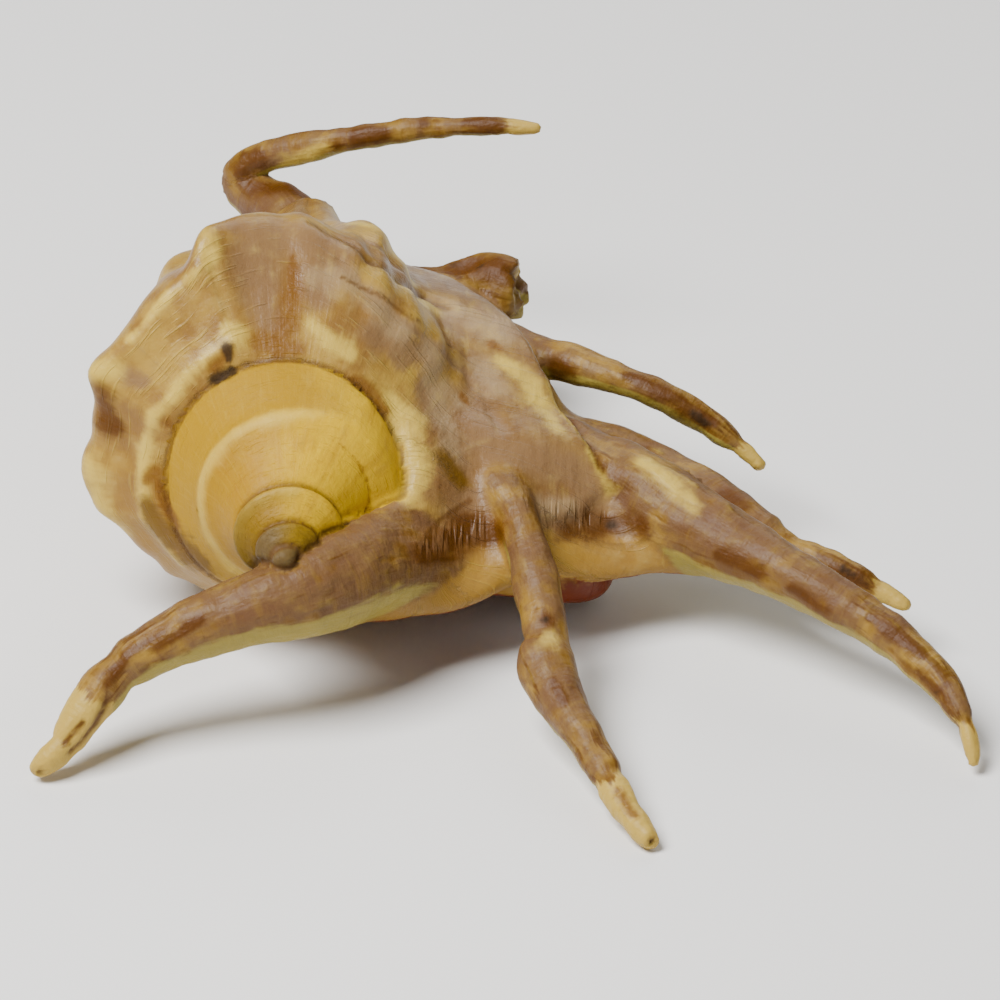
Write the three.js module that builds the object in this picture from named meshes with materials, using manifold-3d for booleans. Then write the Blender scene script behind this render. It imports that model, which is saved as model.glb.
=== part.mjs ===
// Orange spider conch: the empty shell of a large sea snail, standing on the long fingers of its lip.
//
// Millimetres. The shell is drawn in its own frame: the apex at the origin, the coiling axis along
// +Y towards the siphonal canal, +Z the back and +X the side of the flared lip. A place on the coil
// is a turn: 0 is the crest of the back on the last whorl, and turns grow towards the lip.
// The finished shell stands on z = 0, with the middle of its footprint at the origin.
import * as THREE from "three";
import { mergeVertices } from "three/addons/utils/BufferGeometryUtils.js";
import Module from "manifold-3d";

const wasm = await Module();
wasm.setup();

// Driving turns of the coil
const FIRST_TURN = -3.6; // start of the spire, just outside the nucleus
const BODY_START = -0.7; // the whorl that shows down to the canal begins here, hidden under the lip
const LIP_TURN = 0.38; // the last growth of the coil, where the lip stands

// Suture, where a whorl's upper edge meets the whorl before it: turn, radius, depth below the apex
const SUTURE = [
  [-3.6, 1.3, 1.3],
  [-3.25, 1.5, 1.8],
  [-3, 1.6, 2.2],
  [-2.5, 2.5, 3.6],
  [-2.25, 2.8, 4.2],
  [-2, 2.85, 4.7],
  [-1.5, 4.4, 6.4],
  [-1.25, 5.15, 7.1],
  [-1, 5.2, 8.1],
  [-0.75, 5.6, 9.6],
  [-0.5, 9.2, 11.8],
  [-0.4, 11.9, 13],
  [-0.33, 12.9, 15.2],
  [-0.25, 13, 18.6],
  [-0.12, 12.6, 21],
  [0, 12, 22.3],
  [0.12, 11.7, 21.2],
  [0.25, 11.2, 18.5],
  [0.31, 10.1, 18.2],
  [0.38, 8, 17],
];

// Keel of the spire's whorls, between two sutures: turn, radius, depth, height of its cord
const KEEL = [
  [-3.6, 2, 2.1, 0],
  [-3.25, 2.95, 3.3, 0],
  [-3, 3, 3.8, 0],
  [-2.5, 4.3, 5, 0],
  [-2.25, 5.3, 6, 0],
  [-2, 5.35, 7.1, 0],
  [-1.75, 5.65, 7.9, 0.1],
  [-1.5, 7.1, 9.3, 0.3],
  [-1.22, 8.6, 12.6, 0.6],
  [-1.05, 9.3, 14, 0.5],
  [-0.95, 10, 14.6, 0.25],
  [-0.85, 10.7, 15.2, 0.1],
  [-0.7, 11.4, 15.6, 0],
];

// The first half turn is a small dome: x, depth, z, radius
const NUCLEUS = [[0, 2.2, 0, 1.45], [0, 2.8, 0, 1.75], [0, 4.2, 0, 1.9]];

// Shoulder of the body whorl: turn, radius, depth
const SHOULDER = [
  [-0.7, 11.8, 17.2],
  [-0.6, 13.6, 18.4],
  [-0.5, 15.6, 19.4],
  [-0.42, 16.8, 20.4],
  [-0.33, 19, 21.8],
  [-0.25, 20.2, 24],
  [-0.18, 20.8, 25.4],
  [-0.1, 21.3, 27.5],
  [-0.06, 21.2, 30.2],
  [-0.035, 21.8, 34],
  [0, 21.2, 36],
  [0.04, 20.2, 34.6],
  [0.08, 19, 33],
  [0.12, 18, 32],
  [0.2, 18, 31],
  [0.28, 18.6, 29],
  [0.38, 19, 27],
];

// How the flank narrows below the shoulder: share of the shoulder's radius, depth below it
const FLANK = [[0.93, 8], [0.8, 17], [0.56, 27]];
const NECK = [5.6, 69];
const CANAL_END = [2.6, 79];

// Knobs on the whorl, and the hollow behind its crest: turn, height, half width in turns, distance
// below the shoulder, half length
const KNOBS = [
  [-0.275, 2.4, 0.04, 0, 4.5],
  [-0.183, 1.9, 0.026, 0, 4],
  [-0.12, 0.9, 0.02, 3, 5],
  [-0.06, 3, 0.022, 1.5, 6],
  [0, 0.4, 0.03, 1, 7],
  [-0.37, 0.5, 0.03, 1, 4],
  [-0.26, 0.8, 0.025, 11, 4],
  [-0.19, 1.2, 0.025, 10, 4],
  [-0.118, 1.5, 0.022, 12, 4],
  [-0.07, 1.4, 0.02, 16, 5],
  [0.075, 1.7, 0.024, 17, 8],
  [0.11, 0.8, 0.03, 14, 4],
  [0.2, 0.8, 0.03, 14, 4],
  [-0.14, 0.7, 0.02, 19, 4],
  [0, -6.5, 0.06, 20, 12],
];

// The flared lip, station by station from the spire round to the canal. Each line is a row of
// places x, y, z across the lip: the root inside the body, the saddle, the crest, the brow where it
// drops, the flat near the margin, the margin itself, and the rim of the mouth below.
const LIP = [
  [[4, 13, -2], [5, 11, -3], [5, 9.6, -3.6], [5, 8.2, -4.4], [5, 6.8, -5.4], [5, 5.4, -7], [8, 10, -8.8]],
  [
    [7, 19, 0], [12, 18, -1.6], [15.4, 16.4, -4], [16, 13.8, -6.2],
    [15.8, 11.8, -7.6], [14.4, 8.4, -9.4], [13, 14, -9.4],
  ],
  [
    [10, 27, 3], [17, 25, 3], [20.5, 22.5, 1.2], [22.4, 19, -1.6],
    [23.5, 15.5, -5], [24.5, 12.4, -8], [21, 17.5, -10.9],
  ],
  [
    [12, 32, 5], [21, 28, 2.6], [30, 25.6, -0.2], [31.4, 23.4, -4.2],
    [32.4, 20, -6.8], [33.5, 15.8, -10], [30, 20, -13.2],
  ],
  [
    [12, 35, 6], [21, 30.4, 3.6], [28.2, 30.4, 1], [31.5, 28.4, -3.6],
    [38, 23.5, -5], [43.5, 20.5, -8.4], [31, 26, -14.4],
  ],
  [
    [12, 38, 7], [19.6, 34, 5], [26.2, 34.6, 3.6], [28.6, 35, -2],
    [32, 34.4, -4], [36, 33, -7], [29, 34, -15],
  ],
  [
    [12, 42, 7], [18, 38.4, 7], [24.4, 38.8, 5.5], [26, 40.5, 2],
    [26.6, 41.6, -0.4], [27, 42.4, -3.4], [26.4, 42, -15],
  ],
  [
    [10, 47, 6.5], [15.6, 44, 8], [20.6, 44.5, 6.6], [23, 46.6, 2.5],
    [25, 48, -0.4], [27.5, 49, -3.6], [24, 51, -15.4],
  ],
  [
    [7, 58, 3], [11.5, 57, 5], [15, 57.5, 3.8], [18, 58.5, 1.6],
    [20.6, 60, -1], [23, 61, -4], [19, 60, -15.4],
  ],
  [
    [3, 68, -2], [6, 68, 0], [8.5, 68.5, -0.4], [11, 69, -1.5],
    [13.5, 69.5, -3], [16, 70, -5.4], [12.5, 67, -13.4],
  ],
  [
    [1, 74, -4], [2.4, 74, -3], [3.5, 74, -3.2], [4.5, 74, -3.6],
    [5.5, 74, -4.2], [6.5, 74, -5.6], [4, 74, -8],
  ],
];
const RIM_RADIUS = [2, 2.2, 2.3, 2.4, 3, 3.3, 3.4, 3.4, 3.3, 3, 2.4];

// The shelf of the lip overlaps the spire along the suture: x, y, z, radius
const COLLAR = [
  [7.6, 26.4, 7.8, 1.5],
  [10.4, 24.2, 5.6, 2],
  [12.4, 21.6, 2, 2.5],
  [12.9, 19, -1.2, 2.7],
  [11.5, 16.2, -3, 2.6],
  [9.6, 13.4, -3, 2.3],
  [7.7, 11, -2.2, 1.7],
];

// The hollow behind the mouth runs back round the coil from in front of the lip. The depths of its
// upper and lower end are given there and at its back.
const MOUTH = {
  front: 0.47,
  back: -0.08,
  upper: [17.5, 27],
  lower: [67, 50],
  wall: 2.6,
  gap: 0.8,
  leastHeight: 0.8,
  endHeight: 0.1,
  flare: 24,
  flareStart: 0.1,
  steps: 18,
  rows: 8,
};

// Fingers of the lip and the canal: x, y, z, radius from inside the body to the tip
const FINGERS = {
  spire_finger: [
    [16, 14.4, -8, 2.6],
    [9.8, 9.6, -5.2, 4.2],
    [4.4, 5.6, -4.7, 5.2],
    [-0.2, 2.2, -4.8, 4.4],
    [-5.5, 0.6, -5.8, 3.4],
    [-11.5, -1, -7.7, 2.9],
    [-16.4, -3, -10.1, 2.45],
    [-19.5, -5.7, -12.7, 2.25],
    [-22, -8.2, -15.7, 1.75],
    [-24.4, -9.8, -17.3, 1.05],
  ],
  near_finger: [
    [20, 24, -2.4, 2.2],
    [22, 20, -2.6, 2.6],
    [23.6, 15.6, -4, 2.5],
    [25.2, 9.6, -7, 2.5],
    [26.4, 3.4, -9.8, 2.4],
    [26.5, -0.4, -11.2, 3],
    [27.8, -4.6, -12.5, 2.6],
    [30.6, -10.4, -14.3, 1.85],
    [33.7, -17.4, -16.4, 1.55],
    [36.3, -22, -17.7, 1],
  ],
  corner_finger: [
    [29, 31, -4, 3.4],
    [36.5, 26, -6, 4.4],
    [42.6, 20, -7.1, 4.2],
    [48.7, 14.8, -7.7, 3.3],
    [54.6, 9.8, -8.6, 2.75],
    [60.5, 5.2, -10, 2.25],
    [65.8, -0.4, -12.4, 1.85],
    [68.5, -5.6, -14.8, 1.2],
    [69.2, -8.4, -17.2, 0.8],
  ],
  side_finger: [
    [27, 38, -6, 3],
    [33, 35.5, -7, 3.6],
    [38, 33, -7.4, 3.1],
    [43, 28.8, -7.5, 2.7],
    [48, 23.4, -8.3, 2.2],
    [51, 20.8, -9.1, 1.6],
    [54.6, 18.4, -9.5, 1.7],
    [58.2, 16.4, -10.4, 1.65],
    [62, 14.6, -11.8, 1.15],
    [63.8, 13.5, -12.3, 0.85],
  ],
  far_finger: [
    [19, 51, -1.4, 3],
    [24, 49.2, -1.4, 2.4],
    [28.3, 46, -1, 2.2],
    [33.6, 42.6, -1, 1.8],
    [39, 40.2, -2, 1.55],
    [43.3, 38.9, -4, 1.5],
    [47.1, 37.2, -6.2, 1.05],
    [49.6, 35.6, -8, 0.7],
  ],
  broken_finger: [
    [10, 62, -3.4, 4],
    [15, 65.6, -2.8, 3.2],
    [19.5, 67, -1.8, 3.1],
    [23.4, 65.8, -2.3, 3.4],
  ],
  canal: [
    [1, 66, -4, 4.6],
    [0, 75, -3.4, 4.2],
    [-2.7, 82, -1.6, 3.4],
    [-6.3, 86, -0.8, 2.9],
    [-8.6, 87.8, 0.3, 2.5],
    [-8.1, 87.8, 2.2, 2.1],
    [-5.4, 87.2, 4.1, 1.8],
    [-1.5, 86, 5.7, 1.9],
    [4.4, 84.4, 7.6, 1.5],
    [10.2, 83.8, 8.9, 1.3],
    [17.1, 83, 10, 1.05],
    [22.8, 81.8, 10.5, 0.95],
    [25.8, 81.3, 10.5, 0.6],
  ],
};

// The broken finger is hollow along its back: x, y, z, radius
const TROUGH = [[9, 62, -0.4, 1.5], [13, 65, 0.8, 1.9], [17, 66.4, 1.4, 2], [20, 66.6, 2, 1.2]];

// Fineness and thicknesses
const SPIRE_STEP = 1 / 30; // turns between two sections of the spire
const BODY_STEP = 1 / 60;
const WEDGES_PER_TURN = 3;
const PROFILE_STEPS = 17;
const AXIS_LEAD = 1; // the coil is solid from this far above its suture
const AXIS_START = 0.3; // but nowhere nearer to the apex than this
const AXIS_TAIL = 0.8; // and to this far beyond the canal's end
const LIP_STATIONS = 32;
const LIP_THICK = 4.4; // flat near the margin
const MARGIN_THICK = 1.6;
const FINGER_SIDES = 8;
const FINGER_STEPS = 2; // rings for each of a finger's points
const RIM_STEPS = 3;
const TIP_LENGTH = 1.1; // rounded end of a finger, as a share of its last radius
const TIP_WIDTH = 0.4;

// Value of a table at x: straight rows of numbers, read with a smooth curve between them.
function lookUp(rows, x) {
  const last = rows.length - 1;
  if (x <= rows[0][0]) return rows[0].slice(1);
  if (x >= rows[last][0]) return rows[last].slice(1);
  let i = 0;
  while (rows[i + 1][0] < x) i++;
  const [from, to] = [rows[i], rows[i + 1]];
  const [before, after] = [rows[Math.max(i - 1, 0)], rows[Math.min(i + 2, last)]];
  const span = to[0] - from[0];
  const s = (x - from[0]) / span;
  return from.slice(1).map((value, k) => {
    const column = k + 1;
    const slopeIn = ((to[column] - before[column]) / (to[0] - before[0])) * span;
    const slopeOut = ((after[column] - from[column]) / (after[0] - from[0])) * span;
    const rise = to[column] - value;
    const cubic = slopeIn + slopeOut - 2 * rise;
    return value + s * (slopeIn + s * (3 * rise - 2 * slopeIn - slopeOut + s * cubic));
  });
}

const mix = (a, b, share) => a + (b - a) * share;
const bell = (distance, width) => Math.exp(-((distance / width) ** 2));

// Height of the knobs above the whorl at a turn and a depth.
function knobHeight(turn, depth) {
  const shoulderDepth = lookUp(SHOULDER, turn)[1];
  return KNOBS.reduce(
    (sum, [at, height, width, below, length]) =>
      sum + height * bell(turn - at, width) * bell(depth - shoulderDepth - below, length),
    0,
  );
}

// Outline of a spire whorl from its suture over a hollow ramp and the keel to the next suture.
function spireProfile(turn) {
  const [radius, depth] = lookUp(SUTURE, turn);
  const [keelRadius, keelDepth, cord] = lookUp(KEEL, turn);
  const [nextRadius, nextDepth] = lookUp(SUTURE, turn + 1);
  return [
    new THREE.Vector2(radius, depth),
    new THREE.Vector2(mix(radius, keelRadius, 0.5), mix(depth, keelDepth, 0.5) + (keelRadius - radius) * 0.1),
    new THREE.Vector2(mix(radius, keelRadius, 0.88) + cord / 2, mix(depth, keelDepth, 0.88)),
    new THREE.Vector2(keelRadius + cord, keelDepth),
    new THREE.Vector2(mix(keelRadius, nextRadius, 0.4) + 0.1, mix(keelDepth, nextDepth, 0.4)),
    new THREE.Vector2(nextRadius, nextDepth),
  ];
}

// Outline of the body whorl from its suture to the end of the canal.
function bodyProfile(turn) {
  const suture = lookUp(SUTURE, turn);
  const [radius, depth] = lookUp(SHOULDER, turn);
  const corners = [
    suture,
    [mix(suture[0], radius, 0.5), mix(suture[1], depth, 0.45)],
    [radius, depth],
    ...FLANK.map(([share, below]) => [radius * share, depth + below]),
    NECK,
    CANAL_END,
  ];
  const curve = new THREE.SplineCurve(corners.map(([r, d]) => new THREE.Vector2(r, d)));
  const points = curve.getPoints(PROFILE_STEPS);
  for (const point of points) point.x += knobHeight(turn, point.y);
  return points;
}

// A point of the coil: turn, distance from the axis, depth below the apex.
function onCoil(turn, radius, depth) {
  const angle = turn * 2 * Math.PI;
  return new THREE.Vector3(radius * Math.sin(angle), depth, radius * Math.cos(angle));
}

// Triangles that fill an outline, wound the way the outline runs.
function fill(outline) {
  const faces = THREE.ShapeUtils.triangulateShape(outline, []);
  return THREE.ShapeUtils.isClockWise(outline) ? faces.map(([a, b, c]) => [a, c, b]) : faces;
}

// A closed skin through rings of equally many points. The end rings are closed by flat faces,
// cut into triangles as the outline given for them says.
function loft(rings, startOutline, endOutline) {
  const count = rings[0].length;
  const faces = [];
  for (let i = 0; i + 1 < rings.length; i++)
    for (let j = 0; j < count; j++) {
      const a = i * count + j;
      const b = i * count + ((j + 1) % count);
      faces.push([a, b, b + count], [a, b + count, a + count]);
    }
  const base = (rings.length - 1) * count;
  for (const [a, b, c] of fill(startOutline)) faces.push([a, c, b]);
  for (const [a, b, c] of fill(endOutline)) faces.push([base + a, base + b, base + c]);
  const geometry = new THREE.BufferGeometry().setFromPoints(rings.flat());
  return geometry.setIndex(faces.flat());
}

// A manifold solid from a closed geometry, whichever way its faces were wound.
function solidFrom(geometry) {
  const bare = new THREE.BufferGeometry()
    .setAttribute("position", geometry.getAttribute("position"))
    .setIndex(geometry.index);
  const merged = mergeVertices(bare, 1e-4);
  const place = merged.getAttribute("position");
  const corner = (i) => new THREE.Vector3().fromBufferAttribute(place, i);
  const faces = [];
  let volume = 0;
  for (let i = 0; i < merged.index.count; i += 3) {
    const face = [0, 1, 2].map((k) => merged.index.getX(i + k));
    if (new Set(face).size < 3) continue;
    faces.push(face);
    const [a, b, c] = face.map(corner);
    volume += a.dot(b.cross(c));
  }
  const outward = volume < 0 ? faces.map(([a, b, c]) => [a, c, b]) : faces;
  const mesh = new wasm.Mesh({
    numProp: 3,
    vertProperties: new Float32Array(place.array),
    triVerts: new Uint32Array(outward.flat()),
  });
  return new wasm.Manifold(mesh);
}

// The coil between two turns: every section runs from the axis out to the profile and back.
function wedge(from, to, step, profile) {
  const steps = Math.max(2, Math.round((to - from) / step));
  const outlines = [];
  for (let i = 0; i <= steps; i++) {
    const points = profile(mix(from, to, i / steps));
    const top = new THREE.Vector2(0, Math.max(points[0].y - AXIS_LEAD, AXIS_START));
    const bottom = new THREE.Vector2(0, points[points.length - 1].y + AXIS_TAIL);
    outlines.push([top, ...points, bottom]);
  }
  const rings = outlines.map((outline, i) => outline.map((p) => onCoil(mix(from, to, i / steps), p.x, p.y)));
  return solidFrom(loft(rings, outlines[0], outlines[steps]));
}

function coil(from, to, step, profile) {
  const count = Math.ceil((to - from) * WEDGES_PER_TURN);
  const solids = [];
  for (let i = 0; i < count; i++)
    solids.push(wedge(mix(from, to, i / count), mix(from, to, (i + 1) / count), step, profile));
  return solids;
}

// A ring of points round a place on a line.
function ring(centre, along, radius) {
  const side = new THREE.Vector3(0, 0, 1).cross(along).normalize();
  const up = along.clone().cross(side);
  return Array.from({ length: FINGER_SIDES }, (_, j) => {
    const angle = (j * 2 * Math.PI) / FINGER_SIDES;
    return centre
      .clone()
      .addScaledVector(side, radius * Math.cos(angle))
      .addScaledVector(up, radius * Math.sin(angle));
  });
}

// A tapering round limb along a smooth line, with a blunt tip: x, y, z, radius at each of its points.
function limb(points, stepsPerPoint) {
  const line = new THREE.CatmullRomCurve3(points.map(([x, y, z]) => new THREE.Vector3(x, y, z)));
  const widths = new THREE.SplineCurve(points.map((p, i) => new THREE.Vector2(i, p[3])));
  const steps = (points.length - 1) * stepsPerPoint;
  const rings = [];
  for (let i = 0; i <= steps; i++)
    rings.push(ring(line.getPoint(i / steps), line.getTangent(i / steps), widths.getPoint(i / steps).y));
  const forward = line.getTangent(1);
  const radius = points[points.length - 1][3];
  const tip = line.getPoint(1).addScaledVector(forward, radius * TIP_LENGTH);
  rings.push(ring(tip, forward, radius * TIP_WIDTH));
  const round = Array.from({ length: FINGER_SIDES }, (_, j) => {
    const angle = (j * 2 * Math.PI) / FINGER_SIDES;
    return new THREE.Vector2(Math.cos(angle), Math.sin(angle));
  });
  return solidFrom(loft(rings, round, round));
}

// A dome of a few rings round the axis.
function nucleus() {
  const [[, , , first]] = NUCLEUS;
  const ball = new THREE.SphereGeometry(first, 10, 8);
  ball.translate(0, NUCLEUS[0][1], 0);
  const stem = new THREE.CylinderGeometry(NUCLEUS[2][3], first, NUCLEUS[2][1] - NUCLEUS[0][1], 10);
  stem.translate(0, mix(NUCLEUS[0][1], NUCLEUS[2][1], 0.5), 0);
  return solidFrom(ball).add(solidFrom(stem));
}

// The flared lip: rings through the stations, over the back of the lip and home along its underside.
function lipSolid() {
  const place = (row, k) => new THREE.Vector3(...row[k]);
  const lines = LIP[0].map((_, k) => new THREE.CatmullRomCurve3(LIP.map((row) => place(row, k))));
  const below = (point, drop) => point.clone().setZ(point.z - drop);
  const rings = [];
  for (let i = 0; i <= LIP_STATIONS; i++) {
    const station = lines.map((line) => line.getPoint(i / LIP_STATIONS));
    const [root, saddle, crest, brow, near, margin, rim] = station;
    const underside = below(near, LIP_THICK);
    rings.push([
      root,
      saddle,
      crest,
      brow,
      near,
      near.clone().lerp(margin, 0.75).setZ(mix(near.z, margin.z, 0.5)),
      margin,
      underside.clone().lerp(below(margin, MARGIN_THICK), 0.7),
      underside,
      rim.clone().lerp(underside, 0.4),
      rim,
      below(root, LIP_THICK * 2),
    ]);
  }
  const across = [0, 0.25, 0.45, 0.6, 0.8, 0.93, 1, 0.93, 0.8, 0.7, 0.55, 0];
  const up = [1, 1, 1, 0.9, 0.8, 0.6, 0, -0.5, -0.7, -0.9, -1.1, -1];
  const outline = across.map((x, i) => new THREE.Vector2(x, up[i]));
  return solidFrom(loft(rings, outline, outline));
}

// Radius of a profile at a depth, straight between its points.
function radiusAt(points, depth) {
  for (let i = 0; i + 1 < points.length; i++) {
    const [a, b] = [points[i], points[i + 1]];
    if (depth >= a.y && depth <= b.y) return mix(a.x, b.x, (depth - a.y) / (b.y - a.y));
  }
  return depth < points[0].y ? points[0].x : points[points.length - 1].x;
}

// One section of the mouth's hollow, between the whorl before and the inside of the last whorl.
function mouthSection(share) {
  const turn = mix(MOUTH.front, MOUTH.back, share);
  const upper = mix(...MOUTH.upper, share);
  const lower = mix(...MOUTH.lower, share);
  const parietal = bodyProfile(Math.min(turn, LIP_TURN) - 1);
  const outer = bodyProfile(Math.min(turn, LIP_TURN));
  const flare = MOUTH.flare * Math.max(0, turn - LIP_TURN + MOUTH.flareStart);
  const inward = [];
  const outward = [];
  for (let k = 0; k <= MOUTH.rows; k++) {
    const depth = mix(upper, lower, k / MOUTH.rows);
    const open = Math.sqrt(1 - ((2 * k) / MOUTH.rows - 1) ** 4);
    const outside = radiusAt(outer, depth) - MOUTH.wall + flare;
    const inside = Math.min(radiusAt(parietal, depth) + MOUTH.gap, outside - MOUTH.leastHeight);
    const middle = mix(inside, outside, 0.5);
    inward.push(new THREE.Vector2(middle - MOUTH.endHeight / 2 + (inside - middle) * open, depth));
    outward.push(new THREE.Vector2(middle + MOUTH.endHeight / 2 + (outside - middle) * open, depth));
  }
  return { turn, outline: [...inward, ...outward.reverse()] };
}

function mouthSolid() {
  const sections = [];
  for (let i = 0; i <= MOUTH.steps; i++) sections.push(mouthSection(i / MOUTH.steps));
  const rings = sections.map(({ turn, outline }) => outline.map((p) => onCoil(turn, p.x, p.y)));
  return solidFrom(loft(rings, sections[0].outline, sections[MOUTH.steps].outline));
}

// The whole shell in one piece, stood on the ground.
function shellGeometry() {
  const { broken_finger: broken, ...whole_fingers } = FINGERS;
  const pieces = [
    nucleus(),
    ...coil(FIRST_TURN, BODY_START, SPIRE_STEP, spireProfile),
    ...coil(BODY_START, LIP_TURN, BODY_STEP, bodyProfile),
    lipSolid(),
    limb(LIP.map((row, i) => [...row[6], RIM_RADIUS[i]]), RIM_STEPS),
    limb(COLLAR, FINGER_STEPS),
    limb(broken, FINGER_STEPS).subtract(limb(TROUGH, FINGER_STEPS)),
    ...Object.values(whole_fingers).map((points) => limb(points, FINGER_STEPS)),
  ];
  const whole = pieces.reduce((sum, piece) => sum.add(piece)).subtract(mouthSolid());
  const bodies = whole.decompose().sort((a, b) => b.volume() - a.volume());
  const mesh = bodies[0].getMesh();
  const geometry = new THREE.BufferGeometry()
    .setAttribute("position", new THREE.BufferAttribute(new Float32Array(mesh.vertProperties), 3))
    .setIndex(new THREE.BufferAttribute(new Uint32Array(mesh.triVerts), 1));
  geometry.computeBoundingBox();
  const middle = geometry.boundingBox.getCenter(new THREE.Vector3());
  geometry.translate(-middle.x, -middle.y, -geometry.boundingBox.min.z);
  return geometry;
}

const shellFinish = new THREE.MeshStandardMaterial({ color: 0xb08a5c, roughness: 0.38, metalness: 0 });

const shell = new THREE.Mesh(shellGeometry(), shellFinish);
shell.name = "shell";

const part = new THREE.Group();
part.add(shell);
export default part;
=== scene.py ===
import math

import bpy
import numpy as np
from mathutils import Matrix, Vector


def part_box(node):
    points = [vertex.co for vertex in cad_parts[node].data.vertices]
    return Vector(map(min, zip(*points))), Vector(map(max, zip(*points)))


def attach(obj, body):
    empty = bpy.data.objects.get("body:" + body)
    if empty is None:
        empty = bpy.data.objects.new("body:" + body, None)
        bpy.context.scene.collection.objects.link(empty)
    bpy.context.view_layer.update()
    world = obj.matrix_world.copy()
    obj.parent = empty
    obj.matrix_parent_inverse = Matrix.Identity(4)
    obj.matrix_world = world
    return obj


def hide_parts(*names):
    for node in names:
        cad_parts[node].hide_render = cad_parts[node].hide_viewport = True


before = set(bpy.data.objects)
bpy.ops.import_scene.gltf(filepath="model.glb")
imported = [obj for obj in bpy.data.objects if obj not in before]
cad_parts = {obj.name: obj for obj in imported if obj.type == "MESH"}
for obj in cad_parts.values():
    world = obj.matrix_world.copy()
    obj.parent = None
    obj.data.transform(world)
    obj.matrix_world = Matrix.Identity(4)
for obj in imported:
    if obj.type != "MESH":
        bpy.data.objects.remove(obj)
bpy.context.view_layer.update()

MM = 0.001

# Where the photograph was taken from, in the shell's own frame
CAMERA_TILT = math.radians(30)  # looking down on the coiling axis
CAMERA_PLACE = (21.7, -377.55, 226.06)
LENS = 158.4  # mm
SENSOR = 36  # mm wide

# Coil: turn, radius, depth below the apex
FIRST_TURN = -3.6
BODY_START = -0.7
LIP_TURN = 0.38
SUTURE = [
    [-3.6, 1.3, 1.3], [-3.25, 1.5, 1.8], [-3, 1.6, 2.2], [-2.5, 2.5, 3.6], [-2.25, 2.8, 4.2],
    [-2, 2.85, 4.7], [-1.5, 4.4, 6.4], [-1.25, 5.15, 7.1], [-1, 5.2, 8.1], [-0.75, 5.6, 9.6],
    [-0.5, 9.2, 11.8], [-0.4, 11.9, 13], [-0.33, 12.9, 15.2], [-0.25, 13, 18.6], [-0.12, 12.6, 21],
    [0, 12, 22.3], [0.12, 11.7, 21.2], [0.25, 11.2, 18.5], [0.31, 10.1, 18.2], [0.38, 8, 17],
]
# Keel of the spire: turn, radius, depth and how far it stands up as a cord
KEEL = [
    [-3.6, 2, 2.1, 0], [-3.25, 2.95, 3.3, 0], [-3, 3, 3.8, 0], [-2.5, 4.3, 5, 0], [-2.25, 5.3, 6, 0],
    [-2, 5.35, 7.1, 0], [-1.75, 5.65, 7.9, 0.1], [-1.5, 7.1, 9.3, 0.3], [-1.22, 8.6, 12.6, 0.6],
    [-1.05, 9.3, 14, 0.5], [-0.95, 10, 14.6, 0.25], [-0.85, 10.7, 15.2, 0.1], [-0.7, 11.4, 15.6, 0],
]
KEEL_WIDTH = 1.2
RAMP_HOLLOW = 0.1  # how much the wall sinks between suture and keel, as a share of its width
KEEL_SHARPNESS = 0.88  # a corner this far on the way from suture to keel keeps the keel sharp
UNDER_KEEL = [0.4, 0.12]  # share of the way to the next suture, and how far the wall swells there
# The first half turn is a small dome: x, depth, z, radius
NUCLEUS = [[0, 2.2, 0, 1.45], [0, 2.8, 0, 1.75], [0, 4.2, 0, 1.9]]
SHOULDER = [
    [-0.7, 11.8, 17.2], [-0.6, 13.6, 18.4], [-0.5, 15.6, 19.4], [-0.42, 16.8, 20.4], [-0.33, 19, 21.8],
    [-0.25, 20.2, 24], [-0.18, 20.8, 25.4], [-0.1, 21.3, 27.5], [-0.06, 21.2, 30.2], [-0.035, 21.8, 34],
    [0, 21.2, 36], [0.04, 20.2, 34.6], [0.08, 19, 33], [0.12, 18, 32], [0.2, 18, 31], [0.28, 18.6, 29],
    [0.38, 19, 27],
]
RAMP_MIDDLE = [0.5, 0.45]  # share of radius and of depth, halfway from the suture to the shoulder
FLANK = [[0.93, 8], [0.8, 17], [0.56, 27]]  # share of the shoulder's radius, depth below it
NECK = [5.6, 69]
CANAL_END = [2.6, 79]
# Knobs, and the hollow behind the crest: turn, height, half width in turns, distance below the
# shoulder, half length
KNOBS = [
    [-0.275, 2.4, 0.04, 0, 4.5], [-0.183, 1.9, 0.026, 0, 4], [-0.12, 0.9, 0.02, 3, 5],
    [-0.06, 3, 0.022, 1.5, 6], [0, 0.4, 0.03, 1, 7], [-0.37, 0.5, 0.03, 1, 4],
    [-0.26, 0.8, 0.025, 11, 4], [-0.19, 1.2, 0.025, 10, 4], [-0.118, 1.5, 0.022, 12, 4],
    [-0.07, 1.4, 0.02, 16, 5], [0.075, 1.7, 0.024, 17, 8], [0.11, 0.8, 0.03, 14, 4],
    [0.2, 0.8, 0.03, 14, 4], [-0.14, 0.7, 0.02, 19, 4], [0, -6.5, 0.06, 20, 12],
]

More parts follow.
